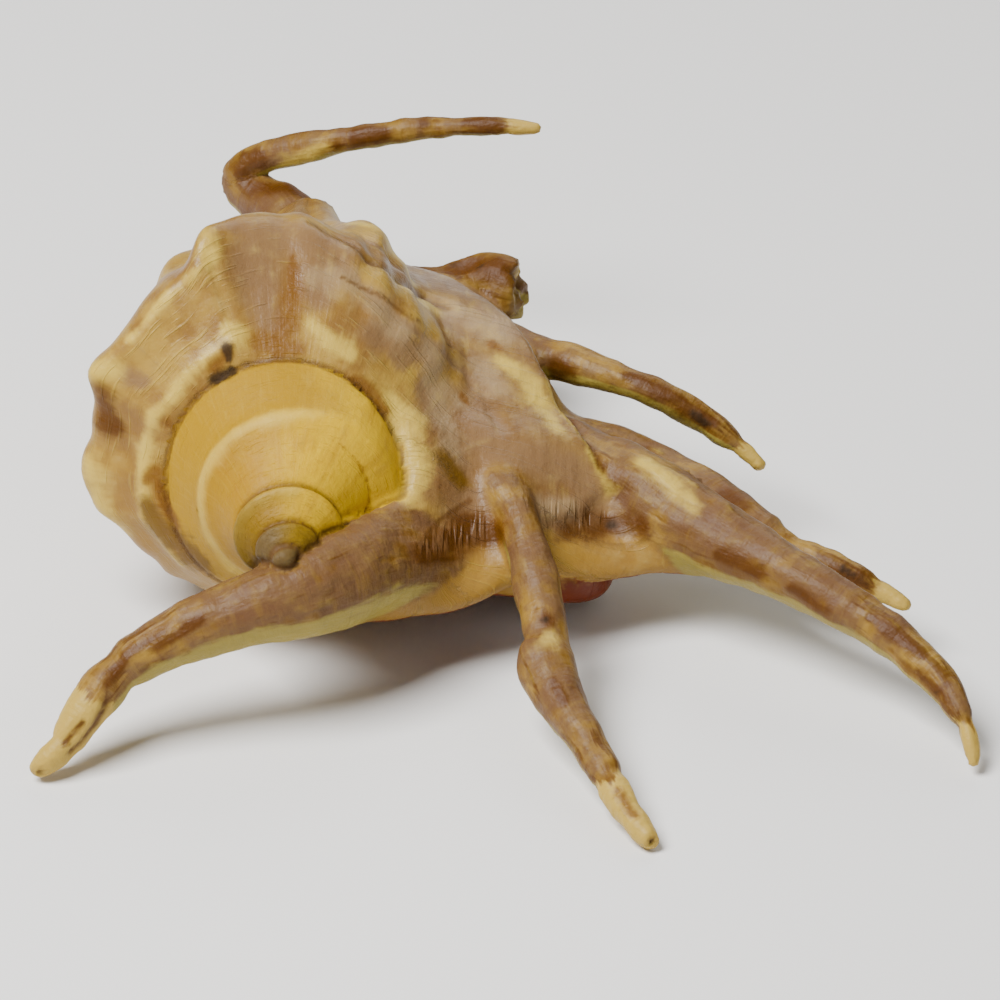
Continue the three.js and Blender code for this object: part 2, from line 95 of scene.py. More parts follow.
# The flared lip, station by station from the spire round to the canal: the root inside the body,
# the saddle, the crest, the brow, the flat near the margin, the margin, and the rim of the mouth
LIP = [
    [[4, 13, -2], [5, 11, -3], [5, 9.6, -3.6], [5, 8.2, -4.4], [5, 6.8, -5.4], [5, 5.4, -7], [8, 10, -8.8]],
    [
        [7, 19, 0], [12, 18, -1.6], [15.4, 16.4, -4], [16, 13.8, -6.2],
        [15.8, 11.8, -7.6], [14.4, 8.4, -9.4], [13, 14, -9.4],
    ],
    [
        [10, 27, 3], [17, 25, 3], [20.5, 22.5, 1.2], [22.4, 19, -1.6],
        [23.5, 15.5, -5], [24.5, 12.4, -8], [21, 17.5, -10.9],
    ],
    [
        [12, 32, 5], [21, 28, 2.6], [30, 25.6, -0.2], [31.4, 23.4, -4.2],
        [32.4, 20, -6.8], [33.5, 15.8, -10], [30, 20, -13.2],
    ],
    [
        [12, 35, 6], [21, 30.4, 3.6], [28.2, 30.4, 1], [31.5, 28.4, -3.6],
        [38, 23.5, -5], [43.5, 20.5, -8.4], [31, 26, -14.4],
    ],
    [
        [12, 38, 7], [19.6, 34, 5], [26.2, 34.6, 3.6], [28.6, 35, -2],
        [32, 34.4, -4], [36, 33, -7], [29, 34, -15],
    ],
    [
        [12, 42, 7], [18, 38.4, 7], [24.4, 38.8, 5.5], [26, 40.5, 2],
        [26.6, 41.6, -0.4], [27, 42.4, -3.4], [26.4, 42, -15],
    ],
    [
        [10, 47, 6.5], [15.6, 44, 8], [20.6, 44.5, 6.6], [23, 46.6, 2.5],
        [25, 48, -0.4], [27.5, 49, -3.6], [24, 51, -15.4],
    ],
    [
        [7, 58, 3], [11.5, 57, 5], [15, 57.5, 3.8], [18, 58.5, 1.6],
        [20.6, 60, -1], [23, 61, -4], [19, 60, -15.4],
    ],
    [
        [3, 68, -2], [6, 68, 0], [8.5, 68.5, -0.4], [11, 69, -1.5],
        [13.5, 69.5, -3], [16, 70, -5.4], [12.5, 67, -13.4],
    ],
    [
        [1, 74, -4], [2.4, 74, -3], [3.5, 74, -3.2], [4.5, 74, -3.6],
        [5.5, 74, -4.2], [6.5, 74, -5.6], [4, 74, -8],
    ],
]
LIP_THICK = 4.4
LIP_BOTTOM = -13.8  # the underside of the lip goes no lower than the middle of its rim
MARGIN_ABOVE = 1.2  # how far the lip's back lies above the line of its margin
MARGIN_BELOW = 1.8
CREST_ABOVE_BROW = 1.5  # beside the standing edge
LIP_LINES = 41  # lines across the lip, drawn between its stations
RIM_RADIUS = [2, 2.2, 2.3, 2.4, 3, 3.3, 3.4, 3.4, 3.3, 3, 2.4]

# The back of the lip ends in a thin standing edge, above the roots of the side fingers: x, y
PLATE = [
    [9, 17], [16, 15], [22, 16], [27, 18], [31, 20.8], [33.4, 24.2], [31.2, 26.2], [29.4, 28.3],
    [27.6, 31], [26.4, 35], [24.8, 39.4], [21.8, 44.8], [16, 57.5], [9, 67], [3, 68], [7, 58],
    [10, 47], [12, 42], [12, 35], [12, 32], [10, 27], [7, 20],
]
PLATE_TOP = [[33, 24.4, -3.4], [28, 23, -1.2], [31, 21, -4.4], [28, 19.2, -4], [25.4, 18.6, -3.2]]
PLATE_STEP = 1.6  # how much lower the lip lies beside that edge

# The shelf of the lip overlaps the spire along the suture: x, y, z, radius
COLLAR = [
    [7.6, 26.4, 7.8, 1.5], [10.4, 24.2, 5.6, 2], [12.4, 21.6, 2, 2.5], [12.9, 19, -1.2, 2.7],
    [11.5, 16.2, -3, 2.6], [9.6, 13.4, -3, 2.3], [7.7, 11, -2.2, 1.7],
]

# Fingers of the lip and the canal: x, y, z, radius, from inside the body to the tip
FINGERS = {
    "spire_finger": [
        [16, 14.4, -8, 2.6], [9.8, 9.6, -5.2, 4.2], [4.4, 5.6, -4.7, 5.2], [-0.2, 2.2, -4.8, 4.4],
        [-5.5, 0.6, -5.8, 3.4], [-11.5, -1, -7.7, 2.9], [-16.4, -3, -10.1, 2.45],
        [-19.5, -5.7, -12.7, 2.25], [-22, -8.2, -15.7, 1.75], [-24.4, -9.8, -17.3, 1.05],
    ],
    "near_finger": [
        [20, 24, -2.4, 2.2], [22.1, 20, -2.4, 2.2], [23.8, 15.6, -3.7, 2], [25.3, 9.6, -6.8, 2.3],
        [26.4, 3.4, -9.8, 2.4], [26.5, -0.4, -11.2, 3], [27.8, -4.6, -12.5, 2.6],
        [30.6, -10.4, -14.3, 1.85], [33.7, -17.4, -16.4, 1.55], [36.3, -22, -17.7, 1],
    ],
    "corner_finger": [
        [29, 31, -4, 3.4], [36.5, 26, -6, 4.4], [42.6, 20, -7.1, 4.2], [48.7, 14.8, -7.7, 3.3],
        [54.6, 9.8, -8.6, 2.75], [60.5, 5.2, -10, 2.25], [65.8, -0.4, -12.4, 1.85],
        [68.5, -5.6, -14.8, 1.2], [69.2, -8.4, -17.2, 0.8],
    ],
    "side_finger": [
        [27, 38, -6, 3], [33, 35.5, -7, 3.6], [38, 33, -7.4, 3.1], [43, 28.8, -7.5, 2.7],
        [48, 23.4, -8.3, 2.2], [51, 20.8, -9.1, 1.6], [54.6, 18.4, -9.5, 1.7],
        [58.2, 16.4, -10.4, 1.65], [62, 14.6, -11.8, 1.15], [63.8, 13.5, -12.3, 0.85],
    ],
    "far_finger": [
        [19, 51, -1.4, 3], [24, 49.2, -1.4, 2.4], [28.3, 46, -1, 2.2], [33.6, 42.6, -1, 1.8],
        [39, 40.2, -2, 1.55], [43.3, 38.9, -4, 1.5], [47.1, 37.2, -6.2, 1.05], [49.6, 35.6, -8, 0.7],
    ],
    "broken_finger": [
        [10, 62, -3.4, 4], [15, 65.6, -2.8, 3.2], [19.5, 67, -1.8, 3.1], [23.4, 65.8, -2.3, 3.4],
    ],
    "canal": [
        [1, 66, -4, 4.6], [0, 75, -3.4, 4.2], [-2.7, 82, -1.6, 3.4], [-6.3, 86, -0.8, 2.9],
        [-8.6, 87.8, 0.3, 2.5], [-8.1, 87.8, 2.2, 2.1], [-5.4, 87.2, 4.1, 1.8], [-1.5, 86, 5.7, 1.9],
        [4.4, 84.4, 7.6, 1.5], [10.2, 83.8, 8.9, 1.3], [17.1, 83, 10, 1.05], [22.8, 81.8, 10.5, 0.95],
        [25.8, 81.3, 10.5, 0.6],
    ],
}
# For each finger: the fillet at its root and the length of its white end, in mm, and how far up its
# side it is cream, as the share of its half width above its middle
FINGER_FINISH = {
    "spire_finger": [2.5, 9, -0.05],
    "near_finger": [1.6, 8, -0.2],
    "corner_finger": [3, 3.6, -0.15],
    "side_finger": [1.6, 3.3, -0.4],
    "far_finger": [1.6, 2.8, 0.1],
    "broken_finger": [2, -5, -0.6],
    "canal": [2.5, 3.5, -0.5],
}
# Fillets where the parts meet, and how their edges are rounded
COLLAR_FILLET = 6
COIL_FILLET = [0.45, 2.6]  # at a suture, and out on the body whorl
COIL_FILLET_REACH = [0.05, 0.6]  # share of the way from suture to shoulder
PLATE_FILLET = [0.6, 3.6]  # where the lip's back drops to the side fingers, and where it faces the spire
NUCLEUS_FILLET = 0.2
RIM_FILLET = 2.5
PLATE_EDGE = 0.8
MARGIN_EDGE = 3.2
UNDER_EDGE = 1.5
MOUTH_EDGE = 1
BREAK_EDGE = 0.5

# The broken finger: a trough in its back and a ragged end
TROUGH = [[9, 62, -0.4, 1.5], [13, 65, 0.8, 1.9], [17, 66.4, 1.4, 2], [20, 66.6, 2, 1.2]]
BREAK_PLACE = [23.7, 65.6, -2]
BREAK_FACING = [0.95, -0.25, 0.1]
BREAK_LUMPS = [[1.7, 1.1], [0.8, 0.6]]  # size and height
BREAK_REACH = 6

# The hollow behind the mouth, back round the coil from in front of the lip
MOUTH_FRONT, MOUTH_BACK = 0.47, -0.08
MOUTH_OPPOSITE = 0.6  # the turn on the side away from the mouth
MOUTH_UPPER = [17.5, 27]  # depth of its upper edge in front and at the back
MOUTH_LOWER = [67, 50]
MOUTH_WALL = 2.6  # left outside the hollow
MOUTH_GAP = 0.8  # between the hollow and the whorl before
MOUTH_LEAST = 0.8  # least height of the hollow
MOUTH_FLARE = 24  # mm for a turn, towards the lip
MOUTH_FLARE_START = 0.1  # turns before the lip
MOUTH_END_SLOPE = 150  # mm for a turn, where the hollow closes

# Tables over the coil
ROUND_STEPS = 720
DEPTH_STEP = 0.2
DEPTH_ROWS = 400
PROFILE_POINTS = 120
LAPS = range(-4, 1)  # whole turns of the coil
LEAST_RAMP = 0.5  # mm from suture to shoulder

# Grid that the skin is drawn on: fine where the spire's first whorls are
GRID_STEP = 0.62
FINE_STEP = 0.34
GRID_LOW = (-29.0, -27.0, -21.0)
GRID_HIGH = (73.0, 93.0, 27.0)
FINE_LOW = (-8.0, -1.0, -8.0)
FINE_HIGH = (8.0, 10.0, 9.0)
BLOCK = 4
BATCH = 4000  # blocks worked out at a time
SETTLING = (0.6, 0.5, 0.35)  # how far each round evens out the skin's corners
LARGEST_MOVE = 0.3
SLOPE_STEP = 0.1

# Relief of the surface: size and height of the lumps, everywhere and on the fingers
LUMPS = [[3.5, 0.05], [8, 0.13]]
FINGER_LUMPS = [[1.5, 0.13], [3, 0.2]]
LATTICE = 32  # random heights along each side of the block that the lumps are read from
SEED = 7
GROWTH_FOLDS = 26  # low folds in one turn of the body whorl, where the shell paused in growing
GROWTH_HEIGHT = 0.17
SUTURE_GROOVE = 0.3
SUTURE_WIDTH = 0.5
KEEL_HIGHLIGHT_WIDTH = 0.9  # half width of the pale band on the spire's keel, a painted highlight
# Lines that are both relief and colour, through places x, y, z, half width: the cord beside the suture,
# the furrow from the crest of the back towards the lip, the rib along it and the groove behind it,
# the groove under the line where the lip's back breaks off, painted brown there as the shadow of
# that edge, and slits in two finger ends
CORD = [
    [-6, 23, 13.2, 0.9], [-8, 22.7, 12.2, 0.9], [-10.3, 22.1, 10.6, 0.9], [-12.2, 21.3, 8, 0.9],
    [-14.3, 21, 5.5, 1], [-15.2, 20, 1, 1], [-15.2, 18.6, -4.5, 1], [-11.6, 16.2, -8.7, 0.8],
]
FURROW = [
    [5, 32, 18.3, 0.7], [9.3, 29.5, 14.5, 0.7], [13.3, 29.7, 11, 0.7], [17.9, 32.1, 5.4, 0.7],
    [20.6, 28.5, 2.9, 0.7], [22.2, 25.3, 2, 0.7],
]
RIB = [
    [8.2, 28.1, 14.1, 0.5], [12.4, 28.4, 11.2, 0.5], [15.2, 30.8, 9.2, 0.5], [19, 31.5, 4.6, 0.5],
    [19.8, 28.6, 3.2, 0.5],
]
GROOVE = [
    [2, 36.5, 20.8, 0.6], [5.5, 36, 19, 0.8], [8, 34.4, 17.6, 0.8], [10.8, 36, 14.4, 0.8],
    [12.6, 40, 10.8, 0.8], [13.8, 42.6, 8.8, 0.8], [16, 41.9, 8.1, 0.6],
]
EDGE_GROOVE_AND_SHADOW = [
    [27.4, 36.5, 0.8, 0.5], [28.9, 32, -0.6, 0.6], [30.4, 27.6, -0.3, 0.6], [32.1, 24.8, -1.8, 0.6],
    [33.6, 23, -4.4, 0.6],
]
SLITS = [
    [[-20, -8.4, -12.8, 0.35], [-21.8, -9.5, -14.4, 0.45]],
    [[-17.5, -6.8, -11.2, 0.5], [-18.5, -7.7, -13.4, 0.5], [-21.1, -9.6, -16, 0.4]],
    [[33.2, -17.4, -14.8, 0.35], [34.8, -20.2, -15.8, 0.4]],
]
# Folds standing above or sunk below the surface: height, then x, y, z, half width along each
FOLDS = [
    # the cord beside the suture, and the ridge left of the highest knob
    [0.35, CORD],
    [0.35, [
        [-9.3, 27.8, 20, 1], [-11.4, 27.6, 18.2, 1], [-13.4, 26.3, 16.7, 1], [-14.8, 25, 14.5, 1],
        [-17.6, 24.7, 11.8, 1], [-20.2, 24.8, 9, 1],
    ]],
    [-0.35, [[-8.6, 29, 21.2, 0.8], [-7.8, 27.4, 19, 0.8], [-6.3, 25, 16, 0.8]]],
    # grooves and ribs between the crest of the back and the lip
    [-0.45, GROOVE],
    [-0.25, [
        [5.6, 44, 17, 1], [7.9, 42, 15.9, 1], [10, 41.5, 13.9, 1], [12, 42, 11, 1],
        [13.8, 43, 8.7, 1],
    ]],
    [-0.3, FURROW],
    [0.2, RIB],
    [0.25, [[3.5, 40.5, 18.8, 1], [7, 39.4, 17, 1], [10, 39.3, 14.4, 1], [12.8, 41.5, 10.4, 1]]],
    # the standing edge of the lip's back, and the crest of the corner finger
    [0.3, [
        [26.5, 34.4, 2.9, 0.9], [28, 30.2, 1, 0.9], [29.6, 27.8, 0.3, 0.9], [31.2, 25.2, -1, 0.9],
        [32.4, 23.3, -3, 0.9],
    ]],
    [-0.45, EDGE_GROOVE_AND_SHADOW],
    [0.35, [[35, 23.6, -2.6, 1], [38, 23.7, -2, 1], [41.1, 22.4, -2.4, 1], [45.1, 18.9, -3.4, 1]]],
    # slits and pits at the ends of two fingers
    [-0.35, SLITS[0]],
    [-0.4, SLITS[1]],
    [-0.35, SLITS[2]],
    [-0.9, [[36.8, -22.9, -17.4, 0.6]]],
    [-0.8, [[-24.6, -10.8, -17.5, 0.6]]],
]
# Rings round the fingers: finger, mm from the tip, height, half width
RINGS = [
    ["spire_finger", 12.5, -0.25, 1],
    ["spire_finger", 3.2, -0.3, 0.8],
    ["near_finger", 8.6, -0.3, 0.7],
    ["near_finger", 27.5, -0.3, 1.2],
    ["corner_finger", 3.8, -0.25, 0.7],
    ["corner_finger", 17, 0.2, 1.2],
    ["side_finger", 3.6, -0.2, 0.6],
    ["side_finger", 13, -0.3, 0.9],
    ["side_finger", 17, 0.25, 1],
    ["far_finger", 3, -0.2, 0.6],
    ["canal", 3.5, -0.15, 0.6],
    ["canal", 16, 0.15, 1.2],
]

FINGER_APART = 60  # mm between the fingers in the space that their streaks are drawn in

# Where one region passes into the next: the low and the high end of the change
SPIRE_TO_BODY = [-0.65, -0.6]  # turn
FIRST_WHORLS = [-2.4, -1.7]  # turn, where the early colour ends
APEX_WHORLS = [-3.2, -2.8]
BODY_TO_CANAL = [50, 64]  # depth, where the growth folds fade out
BODY_FOLDS_START = [0.1, 1.2]  # share of the way from suture to shoulder
LIP_SIDE = [-7, -4]  # z, above which the lip has its own colours
LIP_UNDERSIDE = [-10, -6]  # z, below which it is orange
FACING_DOWN = [-0.85, -0.4]  # how far the surface faces up
MOUTH_INSIDE = [-0.2, 1.2]  # mm outside the hollow
KEEL_HIGHLIGHT_SIDE = [0.1, 0.6]  # the keel's pale band, a painted highlight, is on the side away from the lip
FACING_SPIRE = [-2, 6]  # mm towards the spire on the lip
FINGER_END = [6, 26]  # mm from the tip
WHITE_END = [-3, 3]  # mm past the length in the table
CREAM_SIDE = [-0.35, 0.35]
FINGER_REACH = 0.8  # mm from a finger's surface, where its rings are drawn
SKIN_BLUR = 0.6  # mm over which coil, lip and fingers share a place
FINGER_BLUR = 0.4
# Marks in the colour of the shell: lines through places x, y, z, half width, for each colour
MARKS = {
    "cream": [
        CORD,
        # painted highlights on the left of the hump and along the ridge left of the highest knob
        [[-8.6, 31, 22, 1.6], [-8, 27.4, 20.6, 1.2]],
        [[-9.2, 27.3, 20.3, 0.5], [-12.9, 26.4, 16.7, 0.6], [-16.6, 25.2, 12.6, 0.5]],
        [[-6.3, 24, 14.5, 1], [-4.6, 23.6, 13.8, 1.2]],
        # painted highlights on the knob at the end of that ridge and on the knob below it
        [[-20.3, 24.8, 9.4, 1.6], [-18.2, 24, 9.8, 1.5]],
        [[-21.2, 22.4, -1.2, 2], [-20.7, 21.8, -4.5, 2], [-18.2, 21.1, -7.7, 1.5]],
        [[10.4, 22.3, 7.3, 1.4], [12.4, 20.6, 5, 2], [13, 17.1, 1.5, 1.9], [12.3, 14.7, -0.2, 1.4]],
        [[2.2, 25.6, 14.6, 0.8], [4.1, 24.5, 13, 1.3], [6, 24.2, 11.8, 1.3]],
        [[8.6, 33.5, 15.8, 1], [12.2, 36.8, 12.5, 1.4], [14.2, 40.4, 8.9, 1.4]],
        [[5, 51, 14.5, 1.2], [7, 48, 14.8, 1], [9.9, 45, 13.6, 1], [12.5, 44.6, 10, 1.2]],
        [[26.5, 34.4, 2.9, 0.5], [28, 30.2, 1, 0.5], [31.2, 25.2, -1, 0.5], [33.4, 22.6, -4, 0.5]],
        [[22, 35, 4.9, 1], [24.6, 33, 3.6, 1.6], [26.4, 29.7, 1.7, 1.5], [27.6, 27.2, 0.9, 1.1]],
        [[36.9, 24.5, -1.8, 1.4], [39.4, 21.6, -2.5, 1.6], [41.5, 18.6, -3.5, 1.2]],
        [[26.7, -0.2, -8.1, 1.6]],
        [[-3, 84, 4, 1.2], [2, 84, 7.5, 0.8]],
        [[23.9, 66.4, -0.6, 1.5], [23.5, 63.6, -1, 1.5]],
    ],
    "mauve": [
        [[-5.9, 33, 22.1, 1.2], [-3.3, 33.1, 20.9, 2.4], [0.8, 33.4, 20.1, 3], [4.5, 32.5, 18.8, 2.6]],
        [[-4.2, 31, 19.8, 2.6], [-3, 27.5, 17.2, 2.6], [-2, 25.5, 14.6, 1.8]],
        [[1.6, 30, 18.2, 2.4], [3, 28, 16.4, 1.8]],
        [[8.7, 26.6, 12.6, 1.8], [11.3, 26.9, 10.6, 2.4], [13.9, 28.6, 9.4, 2]],
        [[5.6, 44, 17, 0.7], [7.9, 42, 15.9, 0.7], [10, 41.5, 13.9, 0.7], [13.4, 42.6, 9, 0.7]],
        FURROW,
        [[19.6, 31.1, 4.2, 1.8], [18.6, 25.5, 3, 2.6], [20.7, 22.4, 1.2, 2.8], [26.4, 23, -0.3, 2.6]],
        [[13.9, 25.5, 7, 1.6], [15.5, 23.4, 4.2, 2.2], [17.6, 18.8, -0.4, 2.4], [19.6, 17.6, -2.1, 2.4]],
        [[9.4, 12.2, -0.2, 1.4], [11.7, 12.9, -0.7, 1.5], [14, 10.8, -2.9, 2]],
        [[20, 43, 7, 1.6], [23.4, 40, 5.6, 1.6]],
        [[26.4, 23, -0.3, 2.6], [29, 23.4, -1.4, 2.2], [31, 21.6, -4, 1.8]],
        [[24.8, 16.7, -1.5, 1.6], [28, 18.8, -4.6, 2.6], [32.7, 20.7, -6.3, 2.6]],
        [[16, 12.4, -4.4, 2.2], [18.6, 16, -3.5, 2.4], [21.5, 16, -2.8, 1.8]],
        [[-16.8, 23.4, 9.5, 1.2], [-15.4, 22.6, 9, 1]],
        [[16, 64.4, -1.6, 1.5], [19, 63, -2, 1.6], [22, 62.6, -2.4, 1.4]],
    ],
    "grey": [
        [[2.4, 30, 17.6, 1.4], [5.5, 30.6, 17, 1.8], [8.7, 29.6, 15, 2], [11.3, 28.6, 12.1, 2.2]],
        [[14.4, 29.3, 9.3, 2], [15.4, 25.9, 5.2, 2], [16.5, 20, 1.8, 1.8]],
        [[25.9, 18.3, -3.1, 1.2], [29, 19.8, -4.3, 1.2]],
        [[14.4, 26.9, 7, 1.6], [15.9, 27.5, 5.5, 1.8], [17.5, 27.8, 4.2, 1.6]],
        [[15, 42, 9, 2], [18, 40.6, 8, 2.4], [21.4, 38.6, 6.4, 2.4], [22.4, 44, 5, 2]],
        [[19.6, 34, 5, 1.8], [21.4, 31, 3.8, 1.8]],
    ],
    "brown": [
        [[-19.6, 23.6, 7, 1.7], [-19.4, 23.1, 4.4, 1.9], [-18.4, 22.6, 4, 1.4]],
        [[12, 8, -3.2, 1.1], [16, 12, -4.4, 1.5], [18.6, 15.4, -3.8, 1.8], [20.7, 15, -4.6, 1.6]],
        [[26.3, 14.3, -4, 1.1], [29.4, 18, -5.6, 1.5], [32.7, 20, -6.6, 1.7], [36.4, 19.2, -6.2, 1.3]],
        [[30.8, 20.2, -6, 1.4], [35, 20, -6.4, 1.6]],
        [[27.7, 43.8, -1, 1.5], [29.5, 43, -0.6, 1]],
        [[35.5, 40.6, 0.2, 0.9], [38.5, 39.4, -0.8, 1.2], [41, 38.6, -2, 1]],
        [[41.5, 38.2, -2.4, 1.2], [44, 37.4, -3.8, 1.2]],
        [[45.5, 25, -5.8, 1.3], [47.4, 23.2, -6.2, 1]],
        [[55, 17, -8.4, 0.7], [58.1, 15, -9.6, 1], [60.3, 14.6, -10.8, 0.9]],
        [[44.5, 13.8, -6.4, 1], [48.5, 11.2, -7, 1.2]],
        [[51.5, 8.6, -7.4, 0.8], [55, 6, -8.6, 0.8]],
        [[59.5, 4, -8.2, 0.6], [62.3, 1.7, -9.3, 0.7], [64.4, 0, -10.6, 0.6]],
        [[64, -0.8, -11.6, 0.6], [65.6, -3.1, -12.6, 0.9]],
        [[26.3, 2.7, -7.5, 1]],
        [[27, -5, -10, 0.5], [28, -7.4, -10.8, 0.6]],
        [[-8.3, -2.4, -4.4, 0.6], [-12.8, -3.9, -6.8, 0.7]],
        [[-12, -3, -5.4, 0.6], [-15.8, -4, -7.5, 0.8]],
        [[-16.4, -4.6, -8.4, 0.6], [-17.6, -6, -9.8, 0.6]],
        [[-8.6, 86.6, 3, 1.8], [-6.6, 85.8, 4.3, 1.6]],
        [[2.9, 83.1, 7.4, 0.9]],
        [[5, 83, 8.6, 1.3], [8.4, 82.6, 9.2, 1.3]],
        [[13, 82.8, 10.4, 0.9]],
        [[18, 82, 11, 0.9], [21.6, 81.3, 10.9, 1.1]],
        [[-8.2, 86, 2.6, 1.5], [-6.4, 83.8, 1.6, 1.6], [-4, 83.4, 1.8, 1.6], [-1, 82.4, 2.2, 1.4]],
        [[12.5, 65.6, 0.4, 1.8], [16, 66.6, 0.4, 2.2], [20, 65.6, 0.6, 2.6], [22.8, 64, 0, 2.2]],
        # painted shadow under the standing edge of the lip's back
        EDGE_GROOVE_AND_SHADOW,
        *SLITS[:2],
        [[36.7, -22.8, -17.3, 0.6]],
        [[-24.2, -10.8, -17.3, 0.5]],
    ],
    "rust": [
        [[33.2, -17.4, -14.8, 0.5], [34.8, -20.2, -15.8, 0.6]],
        [[0.2, 31.6, 19.2, 0.5], [0.2, 28.6, 16.9, 1.2], [0.1, 26.4, 15.3, 1.4], [-0.2, 24.7, 13.9, 1.5]],
        [[-3.2, 23.8, 13.4, 1.4], [-1.4, 23.5, 13, 1.6], [0.5, 23.5, 12.8, 1.5]],
        [[6.7, 21.8, 9.8, 0.8], [8.6, 21.6, 8.3, 1], [9.8, 21, 6.7, 0.8]],
        [[-7.6, 21.9, 11.2, 1.1], [-6.5, 22.6, 12.6, 0.9]],
        [[-12.7, 20.4, 5.6, 0.9]],
        [[-14.1, 19.2, 0.4, 0.8], [-14.9, 19.2, -0.6, 0.7]],
        [[-14, 18.6, -0.5, 0.6], [-13.2, 17.6, -2.4, 0.8], [-11.8, 15.8, -4, 0.8]],
        [[17.4, 66.8, 0.4, 1.6], [20.4, 65, 0.6, 1.6]],
        [[17.7, 28.5, 4.3, 0.7], [18.3, 27.9, 3.9, 0.5]],
        [[20.8, 37, 6, 0.6], [21.6, 36.6, 5.4, 0.6]],
        [[14, 10, -3.4, 2], [18.6, 14.4, -4, 2.2], [22, 15.4, -4.4, 2]],
    ],
    # dark lines in grooves, partly brown and partly painted shade in these creases
    "seam": [
        GROOVE,
        [[5.2, 30.5, 17.3, 0.3], [8.6, 30.3, 15.7, 0.4], [12.7, 30.7, 12.2, 0.4], [16.7, 34.4, 6.9, 0.35]],
        [[18.6, 17.6, -2.1, 0.4], [15.5, 14.5, -2.7, 0.4], [13.5, 9.6, -2.8, 0.35]],
    ],
    "stain": [
        [[16.4, 67.4, 0.4, 0.8], [19.2, 65.6, 0.8, 0.9]],
        [[-7.6, 21.4, 10.2, 0.9], [-6, 21.5, 11, 0.8]],
        [[-6.4, 22.9, 13, 0.75], [-6.2, 22.1, 12, 0.5]],
        [[-9.4, 12.9, -0.6, 0.35]],
        [[-8.3, 26.7, 19.5, 0.5]],
        [[6.2, 9.4, 0.1, 0.5]],
        [[42.5, 37.8, -3, 0.6], [44, 37.2, -4, 0.5]],
        [[57.4, 15.4, -9.2, 0.5], [60.6, 14.6, -11, 0.6]],
        [[33.4, 20.3, -6.7, 0.7]],
        [[65.4, -3.3, -12.8, 0.5]],
        [[13, 82.6, 10.6, 0.4]],
        [[26.3, 2.7, -7.5, 0.5]],
    ],
    # painted shade: olive low on the left of the body whorl and in the hollow of the saddle
    "olive_shade": [
        [[-15, 18.4, -3.4, 1.2], [-13.7, 17.2, -5.5, 1.8], [-11.5, 15.3, -6.4, 2.2], [-9.3, 13.6, -7.4, 2]],
        [[15.4, 19.6, 1.6, 1.2], [17.4, 18.6, -0.2, 1.4]],
    ],
    "orange": [
        [[26, 17, -13.4, 3], [32, 19.5, -13.6, 3.4], [36, 22, -12.5, 2]],
    ],
}
# Fine wrinkles crowd under the edge of the lip's back: x, y, z, half width
WRINKLES = [
    [[23.8, 16.2, -2.8, 1.3], [26.6, 18, -4.4, 1.6], [29.4, 19.6, -5.2, 1.5], [31.6, 20.6, -6, 1]],
    [[13.5, 10, -3.6, 1.2], [16, 12.6, -3.8, 1.4], [19, 15.2, -4.2, 1.5]],
]


def tint(red, green, blue):
    """A colour as the shader counts it, from the 0 to 255 of a screen."""
    return (*[((c / 255 + 0.055) / 1.055) ** 2.4 for c in (red, green, blue)], 1)


TAN = tint(128, 92, 36)
SAND = tint(164, 131, 56)
# Painted light on the spire: a lit gold on the side of the lip, a shaded amber on the other side
LIT_GOLD = tint(212, 170, 4)
SHADED_AMBER = tint(156, 116, 0)
AMBER_DEEP = tint(150, 100, 2)
STRAW = tint(158, 120, 0)
OCHRE = tint(146, 109, 40)
EARLY = tint(104, 78, 0)
CREAM = tint(208, 178, 76)
BONE = tint(154, 138, 60)
MAUVE = tint(124, 94, 62)
PLUM = tint(96, 66, 44)
GREY = tint(150, 124, 88)
# the olive of painted shade
OLIVE_SHADE = tint(96, 66, 0)
FINGER = tint(104, 70, 20)
BROWN = tint(80, 44, 0)
RUST = tint(108, 68, 14)
# brown of the sutures and grooves, darkened partly as painted shade in these creases
SEAM_BROWN_AND_SHADE = tint(84, 50, 10)
STAIN = tint(44, 27, 6)
APEX = tint(84, 67, 42)
ORANGE = tint(102, 38, 0)
WHITE = tint(178, 148, 66)
BUMP_HEIGHT = 0.0002  # m
GLAZE = {
    "Coat Roughness": 0.15,
    "Specular IOR Level": 0.2,
    "Subsurface Weight": 0.12,
    "Subsurface Radius": (1, 0.7, 0.35),
    "Subsurface Scale": 0.0015,
}

# Studio: half side of the floor in m, and lights at x, y, z in m, width in m, power in W
FLOOR = 3
FLOOR_PAINT = tint(238, 236, 233)
FLOOR_ROUGHNESS = 0.8
SURROUND = tint(225, 228, 232)
SURROUND_POWER = 0.08
LIGHTS = {
    "key": [(-0.26, -0.16, 0.53), 0.32, 8.2],
    "fill": [(0.4, -0.45, 0.3), 0.5, 0.9],
    "back": [(0.15, 0.5, 0.4), 0.4, 1.5],
}


def look_up(rows, x):
    """Smooth curve through the rows of a table, at each x: one array for each further column."""
    table = np.asarray(rows, float)
    knots = table[:, 0]
    x = np.clip(x, knots[0], knots[-1])
    i = np.clip(np.searchsorted(knots, x, side="right") - 1, 0, len(knots) - 2)
    before = np.maximum(i - 1, 0)
    after = np.minimum(i + 2, len(knots) - 1)
    span = knots[i + 1] - knots[i]
    s = (x - knots[i]) / span
    columns = []
    for values in table[:, 1:].T:
        slope_in = (values[i + 1] - values[before]) / (knots[i + 1] - knots[before]) * span
        slope_out = (values[after] - values[i]) / (knots[after] - knots[i]) * span
        rise = values[i + 1] - values[i]
        cubic = slope_in + slope_out - 2 * rise
        columns.append(values[i] + s * (slope_in + s * (3 * rise - 2 * slope_in - slope_out + s * cubic)))
    return columns


